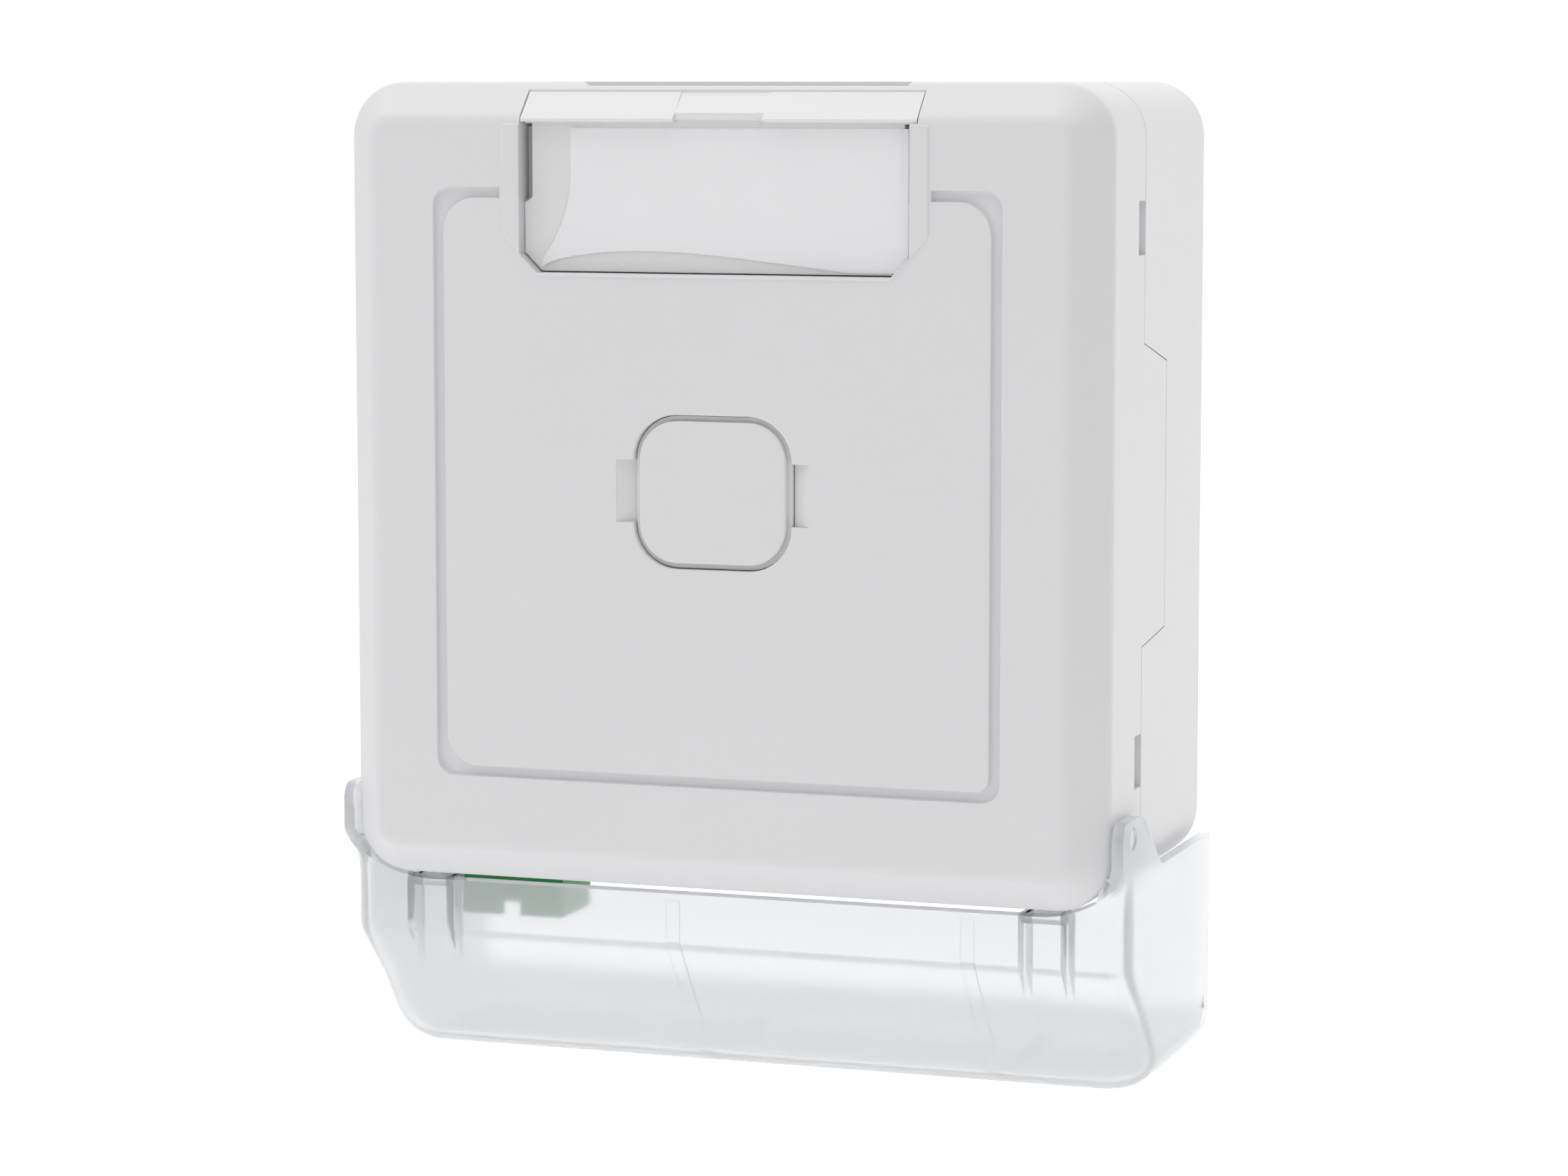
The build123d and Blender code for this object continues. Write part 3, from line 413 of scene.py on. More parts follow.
class Shader:
    """A material's node tree with one Principled shader."""

    def __init__(self, name: str) -> None:
        """Make the material and empty its tree but for the output."""
        self.material = bpy.data.materials.new(name)
        self.material.use_nodes = True
        self.tree = self.material.node_tree
        self.tree.nodes.clear()
        self.output = self.tree.nodes.new("ShaderNodeOutputMaterial")
        self.surface = self.node("ShaderNodeBsdfPrincipled", {}, {})
        self.tree.links.new(self.surface.outputs["BSDF"], self.output.inputs["Surface"])
        self._place: bpy.types.NodeSocket | None = None

    def node(self, kind: str, settings: dict, sockets: dict) -> bpy.types.Node:
        """Make a node.

        Args:
            kind: the node's type.
            settings: its own settings, set first; "stops" is a ramp's list of (place, colour).
            sockets: values or links of its inputs, by name or number.

        Returns:
            The node.
        """
        made = self.tree.nodes.new(kind)
        for setting, value in settings.items():
            if setting == "stops":
                self._set_stops(made, value)
            else:
                setattr(made, setting, value)
        for socket, value in sockets.items():
            self.feed(made.inputs[socket], value)
        return made

    def _set_stops(self, ramp: bpy.types.Node, stops: Sequence[tuple[float, tuple]]) -> None:
        """Give a ramp its stops."""
        elements = ramp.color_ramp.elements
        while len(elements) < len(stops):
            elements.new(0.5)
        for element, (place, colour) in zip(elements, stops):
            element.position, element.color = place, colour

    def feed(self, socket: bpy.types.NodeSocket, value: object) -> None:
        """Give an input a value or a link."""
        if isinstance(value, Value):
            self.tree.links.new(value.socket, socket)
        elif isinstance(value, bpy.types.NodeSocket):
            self.tree.links.new(value, socket)
        else:
            socket.default_value = value

    def value(self, kind: str, settings: dict, sockets: dict, output: int | str = 0) -> Value:
        """One output of a new node, ready for sums."""
        return Value(self, self.node(kind, settings, sockets).outputs[output])

    def place(self) -> bpy.types.NodeSocket:
        """Object coordinates."""
        if self._place is None:
            self._place = self.node("ShaderNodeTexCoord", {}, {}).outputs["Object"]
        return self._place

    def noise(self, grain: float, detail: float = 2.0, rough: float = 0.5,
              stretch: Point3 = (1, 1, 1)) -> Value:
        """Noise in space.

        Args:
            grain: the size of its patches in millimetres.
            detail: its finer layers.
            rough: how strong they are.
            stretch: how much longer the patches are along each axis.

        Returns:
            A value about 0.5.
        """
        scale = tuple(1 / (grain * MM * share) for share in stretch)
        laid = self.node("ShaderNodeMapping", {}, {"Vector": self.place(), "Scale": scale}).outputs[0]
        return self.value("ShaderNodeTexNoise", {"noise_dimensions": "3D"},
                          {"Vector": laid, "Scale": 1.0, "Detail": detail, "Roughness": rough})

    def blend(self, factor: "Value | float", first: object, second: object) -> bpy.types.NodeSocket:
        """A colour between two colours."""
        mix = self.node("ShaderNodeMix", {"data_type": "RGBA"}, {0: factor, 6: first, 7: second})
        return mix.outputs[2]

    def bump(self, height: Value, depth: float,
             under: bpy.types.NodeSocket | None = None) -> bpy.types.NodeSocket:
        """A Bump node's normal.

        Args:
            height: the height, from 0 to 1.
            depth: what a height of 1 is in millimetres.
            under: the normal of a bump below this one.

        Returns:
            The normal.
        """
        sockets = {"Height": height, "Distance": depth * MM, "Strength": 1.0}
        if under is not None:
            sockets["Normal"] = under
        return self.node("ShaderNodeBump", {}, sockets).outputs[0]

    def set(self, **sockets: object) -> None:
        """Set the Principled shader's inputs; an underscore stands for a space."""
        for name, value in sockets.items():
            self.feed(self.surface.inputs[name.replace("_", " ")], value)


def tone(level: float, tint: Point3 = (1, 1, 1)) -> tuple[float, float, float, float]:
    """A colour of one brightness and a slight tint."""
    return (level * tint[0], level * tint[1], level * tint[2], 1.0)


@dataclass(frozen=True)
class MouldedPlastic:
    """Opaque moulded plastic with a fine eroded texture and faint flow shading."""

    name: str
    colour: tuple[float, float, float, float]
    roughness: float = 0.42
    grain: float = 0.16
    grain_depth: float = 0.004
    ripple_depth: float = 0.010
    shade: float = 0.03

    def made(self) -> bpy.types.Material:
        """Build the material."""
        shader = Shader(self.name)
        flow = shader.noise(26.0, 3.0, 0.55)
        fleck = shader.noise(0.9, 4.0, 0.6)
        dark = tuple(part * (1 - self.shade) for part in self.colour[:3]) + (1.0,)
        colour = shader.blend(flow * 0.75 + fleck * 0.25, dark, self.colour)
        ripple = shader.bump(shader.noise(5.0, 2.0, 0.5), self.ripple_depth)
        grain = shader.bump(shader.noise(self.grain, 3.0, 0.65), self.grain_depth, ripple)
        shader.set(Base_Color=colour, Roughness=self.roughness - 0.05 + fleck * 0.10, IOR=1.49,
                   Normal=grain, Subsurface_Weight=0.0, Specular_IOR_Level=0.42)
        return shader.material


@dataclass(frozen=True)
class FrostedPlastic:
    """Milky see-through plastic: fine inside haze, with polished and matt patches."""

    name: str
    colour: tuple[float, float, float, float]
    haze: float
    roughness: float
    grain_depth: float = 0.006

    def made(self) -> bpy.types.Material:
        """Build the material."""
        shader = Shader(self.name)
        cloud = shader.noise(14.0, 3.0, 0.5)
        drawn = shader.noise(0.35, 3.0, 0.6, (9.0, 1.0, 1.0))
        grain = shader.bump(drawn, self.grain_depth)
        shader.set(Base_Color=shader.blend(cloud,
                                           tuple(part * 0.985 for part in self.colour[:3]) + (1.0,),
                                           self.colour),
                   Roughness=self.roughness - 0.04 + cloud * 0.08, IOR=1.18, Normal=grain,
                   Transmission_Weight=1.0 - self.haze)
        return shader.material


@dataclass(frozen=True)
class ClearPlastic:
    """Thin clear glossy plastic with faint handling marks."""

    name: str
    colour: tuple[float, float, float, float]
    body: float = 0.12
    roughness: float = 0.06

    def made(self) -> bpy.types.Material:
        """Build the material."""
        shader = Shader(self.name)
        marks = shader.noise(1.4, 5.0, 0.7, (1.0, 1.0, 3.0))
        wave = shader.bump(shader.noise(9.0, 2.0), 0.012)
        shader.set(Base_Color=self.colour, Roughness=self.roughness + marks.between(0.62, 0.72) * 0.05,
                   IOR=1.49,
                   Normal=wave, Alpha=self.body)
        return shader.material


@dataclass(frozen=True)
class PaperCard:
    """Uncoated white card with fibres."""

    name: str
    colour: tuple[float, float, float, float]

    def made(self) -> bpy.types.Material:
        """Build the material."""
        shader = Shader(self.name)
        fibre = shader.noise(0.5, 5.0, 0.7, (4.0, 1.0, 1.0))
        cloud = shader.noise(4.0, 3.0, 0.6)
        dull = tuple(part * 0.955 for part in self.colour[:3]) + (1.0,)
        colour = shader.blend(fibre * 0.5 + cloud * 0.5, dull, self.colour)
        shader.set(Base_Color=colour, Roughness=0.75 + fibre * 0.15, IOR=1.45,
                   Normal=shader.bump(fibre, 0.006), Specular_IOR_Level=0.3)
        return shader.material


@dataclass(frozen=True)
class Metal:
    """Turned or stamped metal with fine tool marks."""

    name: str
    colour: tuple[float, float, float, float]
    roughness: float = 0.3
    marks: Point3 = (1.0, 1.0, 12.0)

    def made(self) -> bpy.types.Material:
        """Build the material."""
        shader = Shader(self.name)
        lines = shader.noise(0.12, 3.0, 0.6, self.marks)
        stain = shader.noise(2.5, 3.0, 0.6)
        dull = tuple(part * 0.82 for part in self.colour[:3]) + (1.0,)
        shader.set(Base_Color=shader.blend(stain, dull, self.colour), Metallic=1.0,
                   Roughness=self.roughness - 0.06 + lines * 0.12, Normal=shader.bump(lines, 0.002))
        return shader.material


@dataclass(frozen=True)
class SoftRubber:
    """Matt rubber with a dusty surface."""

    name: str
    colour: tuple[float, float, float, float]

    def made(self) -> bpy.types.Material:
        """Build the material."""
        shader = Shader(self.name)
        dust = shader.noise(1.2, 4.0, 0.65)
        pale = tuple(part + 0.035 for part in self.colour[:3]) + (1.0,)
        shader.set(Base_Color=shader.blend(dust.between(0.45, 0.7), self.colour, pale),
                   Roughness=0.62 + dust * 0.2,
                   IOR=1.5, Normal=shader.bump(shader.noise(0.2, 2.0), 0.008), Specular_IOR_Level=0.35)
        return shader.material


FINISHES = {
    "base_white": MouldedPlastic("satin_base_white", tone(0.75, (0.992, 0.992, 1.008))),
    "cover_white": MouldedPlastic("satin_cover_white", tone(0.745, (0.992, 0.992, 1.008))),
    "holder_white": MouldedPlastic("satin_holder_white", tone(0.79), 0.38),
    "cap_white": MouldedPlastic("satin_cap_white", tone(0.74, (0.996, 0.996, 1.004)), 0.40),
    "tray_white": MouldedPlastic("moulded_tray_white", tone(0.82), 0.36),
    "clamp_white": MouldedPlastic("moulded_clamp_white", tone(0.78), 0.40),
    "retainer_nylon": MouldedPlastic("natural_nylon", tone(0.80, (1.0, 0.98, 0.92)), 0.35),
    "insert_natural": MouldedPlastic("natural_carrier", tone(0.78, (1.0, 0.97, 0.86)), 0.35),
    "adapter_green": MouldedPlastic("adapter_green", (0.010, 0.285, 0.075, 1.0), 0.34, 0.10, 0.003,
                                    0.006, 0.12),
    "sleeve_ceramic": MouldedPlastic("polished_ceramic", tone(0.86, (1.0, 0.99, 0.96)), 0.12, 0.3, 0.001,
                                     0.001),
    "frosted_clear": FrostedPlastic("frosted_flap", (0.925, 0.935, 0.950, 1.0), 0.34, 0.20),
    "window_clear": ClearPlastic("clear_window", (0.90, 0.90, 0.92, 1.0)),
    "lid_clear": ClearPlastic("clear_lid", (0.80, 0.84, 0.88, 1.0), 0.30, 0.10),
    "card_paper": PaperCard("label_paper", tone(0.90, (1.0, 1.0, 1.01))),
    "clip_steel": Metal("spring_steel", tone(0.62), 0.26),
    "screw_steel": Metal("zinc_steel", tone(0.60, (1.0, 1.0, 1.02)), 0.32),
    "insert_brass": Metal("turned_brass", (0.72, 0.50, 0.20, 1.0), 0.28),
    "holder_grey": SoftRubber("grey_elastomer", tone(0.22)),
    "grommet_rubber": SoftRubber("black_rubber", tone(0.02)),
}


class Paint:
    """The finishes, each made once."""

    def __init__(self) -> None:
        """Start with none made."""
        self.made: dict[str, bpy.types.Material] = {}

    def finish(self, slot: str) -> bpy.types.Material:
        """The material for one of the record's slots."""
        if slot not in self.made:
            self.made[slot] = FINISHES[slot].made()
        return self.made[slot]

    def dress(self, piece: bpy.types.Object, slot: str, body: str, *nodes: str) -> None:
        """Give a piece its finish and its body.

        Args:
            piece: the piece.
            slot: the record's material slot.
            body: the body that it rides on.
            nodes: the frame's nodes that it stands for.
        """
        piece.data.materials.clear()
        piece.data.materials.append(self.finish(slot))
        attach(piece, body)
        if nodes:
            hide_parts(*nodes)
        LOG.info("%s: %d faces, %s, on %s", piece.name, len(piece.data.polygons), slot, body)


# ------------------------------------------------------------------------------------ housing
@dataclass(frozen=True)
class Housing:
    """The housing's overall sizes, read from the frame."""

    half_width: float
    bottom: float
    top: float
    face_y: float
    seam_depth: float = 16.6
    corner: float = 6.2
    wall: float = 2.0
    chamfer: float = 4.05

    @classmethod
    def from_frame(cls) -> "Housing":
        """Read the base's box and the cap's front."""
        low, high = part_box("base_shell")
        cap_low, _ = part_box("screw_cap")
        return cls(high.x / MM, low.z / MM, high.z / MM, cap_low.y / MM)

    def outline(self, steps: int = 10) -> Outline:
        """The housing's front outline."""
        middle = (0.0, (self.top + self.bottom) / 2)
        return rounded_rectangle(2 * self.half_width, self.top - self.bottom, self.corner, middle, steps)


@dataclass
class Flap:
    """The frosted flap below the housing: a thin tub with two ears that turn on the cover's pins."""

    housing: Housing
    paint: Paint
    gap: float = 0.3
    wall: float = 1.3
    front: float = 4.5
    fold_drop: float = 7.1
    drop: float = 22.8
    slope_deg: float = 36.7
    corner: float = 3.6
    low_corner: float = 5.6
    foot_round: float = 5.0
    rim_drop: float = 0.8
    rim_rise: float = 3.8
    rim_turn: float = 7.0
    side_rim: float = 3.1
    ear_front: float = 3.1
    ear_top: float = 10.1
    ear_morph: Point2 = (-1.8, 5.2)
    join_level: float = -2.6
    rear_lip: float = 5.0
    pin_depth: float = 7.6
    pin_up: float = 7.9
    pin_hole: float = 1.31
    bore_span: Point2 = (44.0, 48.0)
    edge_round: float = 0.28
    ear_level: float = 9.0
    rear_inset: float = 0.9
    band_rows: int = 7
    ear_rows: int = 12
    latch_x: float = 36.9
    latch_half: float = 2.9
    latch_rib: float = 0.9
    latch_reach: float = 2.9
    tab_reach: float = 4.0
    tab_thick: float = 1.0
    stiffeners: tuple[float, float] = (-6.9, 28.1)
    band_half: float = 0.8
    band_relief: float = 0.25
    sides: int = 30
    arc_steps: int = 8
    fronts: int = 56

    def __post_init__(self) -> None:
        """Work out the skin's main lines."""
        self.half = self.housing.half_width + self.gap + self.wall
        self.back_y = -self.gap
        self.front_y = self.housing.face_y + self.front
        self.floor = self.housing.bottom - self.drop
        slope = math.tan(math.radians(self.slope_deg))
        fold = self.housing.bottom - self.fold_drop
        foot_y = self.front_y + (fold - self.floor) * slope
        self.front_line = rounded_path([Corner(self.front_y, self.housing.bottom),
                                        Corner(self.front_y, fold, 2.5),
                                        Corner(foot_y, self.floor, self.foot_round),
                                        Corner(foot_y + self.foot_round, self.floor)], 8)
        self.ear_line = rounded_path([Corner(self.ear_front, self.ear_top - 1.6),
                                      Corner(self.ear_front, self.ear_top, 1.5),
                                      Corner(11.7, self.ear_top, 4.5), Corner(20.1, self.side_rim, 3.0),
                                      Corner(60.0, self.side_rim)], 8)

    def front_at(self, z: float) -> float:
        """The front skin's y at a height below the rim.

        Args:
            z: the height.

        Returns:
            The y of the outer face.
        """
        line = self.front_line
        if z >= line[0][1]:
            return line[0][0]
        for (y_high, z_high), (y_low, z_low) in zip(line, line[1:]):
            if z_low <= z <= z_high and z_high > z_low:
                return y_high + (y_low - y_high) * (z_high - z) / (z_high - z_low)
        return line[-2][0]

    def ear_at(self, depth: float) -> float:
        """The height of the side's free edge over the housing's bottom, at a depth behind the face.

        Args:
            depth: how far behind the housing's face.

        Returns:
            The height over the housing's bottom.
        """
        line = self.ear_line
        for (near, near_up), (far, far_up) in zip(line, line[1:]):
            if near <= depth <= far and far > near:
                return near_up + (far_up - near_up) * (depth - near) / (far - near)
        return line[0][1]

    def bottom_inset(self, z: float, radius: float) -> float:
        """How far a wall has turned in at a height near the floor.

        Args:
            z: the height.
            radius: the radius of the turn.

        Returns:
            How far in it lies; 0 above the turn.
        """
        under = self.floor + radius - z
        return 0.0 if under <= 0 else radius - math.sqrt(max(radius ** 2 - under ** 2, 0.0))

    def section(self, z: float) -> list[Point2]:
        """The skin's outline at one height, as (x, y), from the back left round the front to the back right.

        Args:
            z: the height.

        Returns:
            The points, as many at every height.
        """
        radius = self.low_corner - self.rear_inset
        inset = self.bottom_inset(z, radius)
        half = self.half - inset
        back = self.back_y - self.bottom_inset(z, self.foot_round)
        front = self.front_at(z)
        rise = z - self.housing.bottom
        share = smooth_step((-self.fold_drop - rise) / 8.0)
        corner = self.corner + (self.low_corner - self.corner) * share - inset * 0.75
        shift = smooth_step((rise - self.ear_morph[0]) / (self.ear_morph[1] - self.ear_morph[0]))
        left: list[Point2] = []
        for step in range(self.sides):
            left.append((-half, back + (front + corner - back) * step / self.sides))
        ear_y = self.housing.face_y + self.ear_front
        for step in range(self.arc_steps + 1):
            turn = math.pi / 2 * step / self.arc_steps
            bent = (-half + corner * (1 - math.cos(turn)), front + corner * (1 - math.sin(turn)))
            straight = (-half, front + corner + (ear_y - front - corner) * step / self.arc_steps)
            left.append((bent[0] + (straight[0] - bent[0]) * shift,
                         bent[1] + (straight[1] - bent[1]) * shift))
        end_x, end_y = left[-1]
        across = [(-end_x * self.spread(step / self.fronts), end_y) for step in range(1, self.fronts)]
        return left + across + [(-x, y) for x, y in reversed(left)]

    def spread(self, share: float) -> float:
        """Where a column of the front stands, from -1 to 1, closer together near the ends."""
        return -math.cos(math.pi * share) * 0.35 + (2 * share - 1) * 0.65

    def tops(self) -> list[float]:
        """The height over the housing's bottom where each column's lower band ends."""
        high = -self.rim_drop + self.rim_rise
        side = [high] * (self.sides + self.arc_steps + 1)
        wide = self.half - 1.1
        middle = []
        for step in range(1, self.fronts):
            share = (abs(self.spread(step / self.fronts)) * wide - (wide - self.rim_turn)) / self.rim_turn
            lift = 1 - math.sqrt(1 - min(max(share, 0.0), 1.0) ** 2)
            middle.append(-self.rim_drop + self.rim_rise * lift)
        return side + middle + side

    def shell(self) -> bpy.types.Object:
        """The tub with its ears, as a thin wall."""
        sketch = Sketch()
        bottom = self.housing.bottom
        join = bottom + self.join_level
        tops = self.tops()
        side_count = self.sides + self.arc_steps + 1
        count = len(tops)
        columns = list(range(count))
        sided = columns[:side_count], columns[count - side_count:]

        def at(index: int, z: float) -> Point3:
            x, y = self.section(z)[index]
            return (x, y, z)

        levels = [join + (bottom - self.fold_drop + 1.4 - join) * step / 3 for step in range(1, 4)]
        fold = bottom - self.fold_drop
        levels += [fold + 1.0 - 2.0 * step / 6 for step in range(7)]
        low = self.floor + self.foot_round
        levels += [fold - 1.6 + (low - fold + 1.6) * step / 6 for step in range(7)]
        levels += [self.floor + self.foot_round * (1 - math.sin(math.pi / 2 * step / 10))
                   for step in range(1, 11)]
        levels = sorted(set(round(level, 4) for level in levels), reverse=True)
        rows = []
        for step in range(self.band_rows):
            share = step / self.band_rows
            rows.append(sketch.ring(at(index, bottom + tops[index] * (1 - share) + self.join_level * share)
                                    for index in columns))
        rows.append(sketch.ring(at(index, join) for index in columns))
        rows += [sketch.ring(at(index, level) for index in columns) for level in levels]
        sketch.skin(rows, closed=False)
        for part in sided:
            upper = []
            for step in range(self.ear_rows):
                share = step / self.ear_rows
                points = []
                for index in part:
                    side_y = self.section(bottom + self.ear_level)[index][1]
                    high = self.ear_at(side_y - self.housing.face_y)
                    low_z = tops[index]
                    rise = high + (low_z - high) * share
                    points.append(at(index, bottom + rise))
                upper.append(sketch.ring(points))
            upper.append([rows[0][index] for index in part])
            sketch.skin(upper, closed=False)
        self.close_back(sketch, rows)
        piece = sketch.made("bottom_flap")
        wall = piece.modifiers.new("wall", "SOLIDIFY")
        wall.thickness = self.wall * MM
        wall.offset = -1.0
        wall.use_even_offset = True
        wall.use_rim = True
        settled(piece)
        return piece

    def build(self) -> None:
        """Make the flap."""
        piece = self.shell()
        soft = piece.modifiers.new("soft", "BEVEL")
        soft.width, soft.segments = self.edge_round * MM, 3
        soft.limit_method, soft.angle_limit = "ANGLE", math.radians(50)
        settled(piece)
        bores, extras = Sketch(), Latches(self)
        pin_y, pin_z = self.housing.face_y + self.pin_depth, self.housing.bottom + self.pin_up
        for side in Side:
            bores.rod(*((side.value * reach, pin_y, pin_z) for reach in self.bore_span),
                      [(0.0, self.pin_hole), (1.0, self.pin_hole)])
        piece = combined(piece, bores.made("bores"), Joining.CUT)
        piece = combined(piece, extras.latches().made("latches"), Joining.ADD, crossing=True)
        piece = combined(piece, extras.stiffeners().made("stiffeners"), Joining.ADD)
        self.paint.dress(smoothed(piece), "frosted_clear", "flap", "bottom_cover")

    def close_back(self, sketch: Sketch, rows: Sequence[Ring]) -> None:
        """Add the low wall at the back and the floor.

        Args:
            sketch: the mesh in the making.
            rows: the skin's rows, from the rim down.
        """
        lip = self.floor + self.rear_lip
        last = rows[-1]
        back_rows = [ring for ring in rows if ring[0].co.z / MM <= lip + 0.01]
        for ring, following in zip(back_rows, back_rows[1:]):
            sketch.mesh.faces.new([ring[-1], ring[0], following[0], following[-1]])
        sketch.flat(last)


@dataclass
class Latches:
    """What stands on the flap's inner face: two latches, each two ribs and a tab, and two stiffeners."""

    flap: Flap

    def profile(self, inset: float) -> list[Point2]:
        """The flap's section as (y, z), from the top of the front wall down and back to the rear.

        Args:
            inset: how far in from the outer face.

        Returns:
            The points.
        """
        flap = self.flap
        fold = flap.housing.bottom - flap.fold_drop
        slope_end = flap.front_y + (fold - flap.floor) * math.tan(math.radians(flap.slope_deg))
        return Outline([Corner(flap.front_y, flap.housing.top), Corner(flap.front_y, fold, 2.5),
                        Corner(slope_end, flap.floor, flap.foot_round),
                        Corner(flap.back_y, flap.floor, flap.foot_round),
                        Corner(flap.back_y, flap.housing.top)]).drawn(inset)

    def rib(self, sketch: Sketch, low_x: float, high_x: float) -> None:
        """One rib: its back edge is upright, and it ends in a point where the slope reaches that edge.

        Args:
            sketch: the mesh in the making.
            low_x: its left face.
            high_x: its right face.
        """
        flap = self.flap
        rim, reach = flap.housing.bottom - flap.rim_drop, flap.front_y + flap.wall + flap.latch_reach
        middle = [point for point in self.profile(flap.wall / 2) if point[0] < reach and point[1] < rim]
        lowest = middle[-1]
        following = self.profile(flap.wall / 2)[self.profile(flap.wall / 2).index(lowest) + 1]
        share = (reach - lowest[0]) / (following[0] - lowest[0])
        tip = (reach, lowest[1] + (following[1] - lowest[1]) * share)
        sketch.side_prism([(flap.front_y + flap.wall / 2, rim), *middle, tip, (reach, rim)], low_x, high_x)

    def latches(self) -> Sketch:
        """The ribs and their tabs."""
        sketch, flap = Sketch(), self.flap
        rim = flap.housing.bottom - flap.rim_drop
        for middle in (-flap.latch_x, flap.latch_x):
            for side in Side:
                inner = middle + side.value * (flap.latch_half - flap.latch_rib)
                outer = middle + side.value * flap.latch_half
                self.rib(sketch, min(inner, outer), max(inner, outer))
            half = flap.latch_half - flap.latch_rib / 2
            sketch.block((middle - half, flap.front_y + flap.wall / 2, rim - flap.tab_thick),
                         (middle + half, flap.front_y + flap.wall + flap.tab_reach, rim))
        return sketch

    def stiffeners(self) -> Sketch:
        """Two low bands that follow the inner face from the rim to the rear lip."""
        sketch, flap = Sketch(), self.flap
        top = flap.housing.bottom - flap.rim_drop - 1.0
        outer = [(y, z) for y,
                 z in self.profile(flap.wall / 2) if z < top and y < flap.back_y - flap.foot_round]
        inner = [(y, z) for y,
                 z in self.profile(flap.wall + flap.band_relief)
                 if z < top and y < flap.back_y - flap.foot_round]
        for middle in flap.stiffeners:
            sketch.side_prism([(flap.front_y + flap.wall / 2, top), *outer, *reversed(inner),
                               (flap.front_y + flap.wall + flap.band_relief, top)],
                              middle - flap.band_half, middle + flap.band_half)
        return sketch


# ------------------------------------------------------------------------------------ front cover
@dataclass(frozen=True)
class Window:
    """The label window's opening."""

    half_width: float = 22.9
    drop: float = 21.2
    cut: float = 2.1
    pocket_depth: float = 3.2
    slot_low: float = 31.9
    slot_high: float = 40.8

    def corners(self, housing: Housing, inset: float, top: float) -> list[Corner]:
        """The opening's corners, with its two lower corners cut off.

        Args:
            housing: the housing it is cut from.
            inset: how far in from the opening's edge.
            top: the height of its upper edge.

        Returns:
            The corners, anticlockwise.
        """
        half, low, cut = self.half_width - inset, housing.top - self.drop + inset, self.cut
        return [Corner(cut - half, low), Corner(half - cut, low), Corner(half, low + cut), Corner(half, top),
                Corner(-half, top), Corner(-half, low + cut)]

    def points(self, housing: Housing, inset: float, top: float) -> list[Point2]:
        """The same corners as points."""
        return [(corner.across, corner.up) for corner in self.corners(housing, inset, top)]


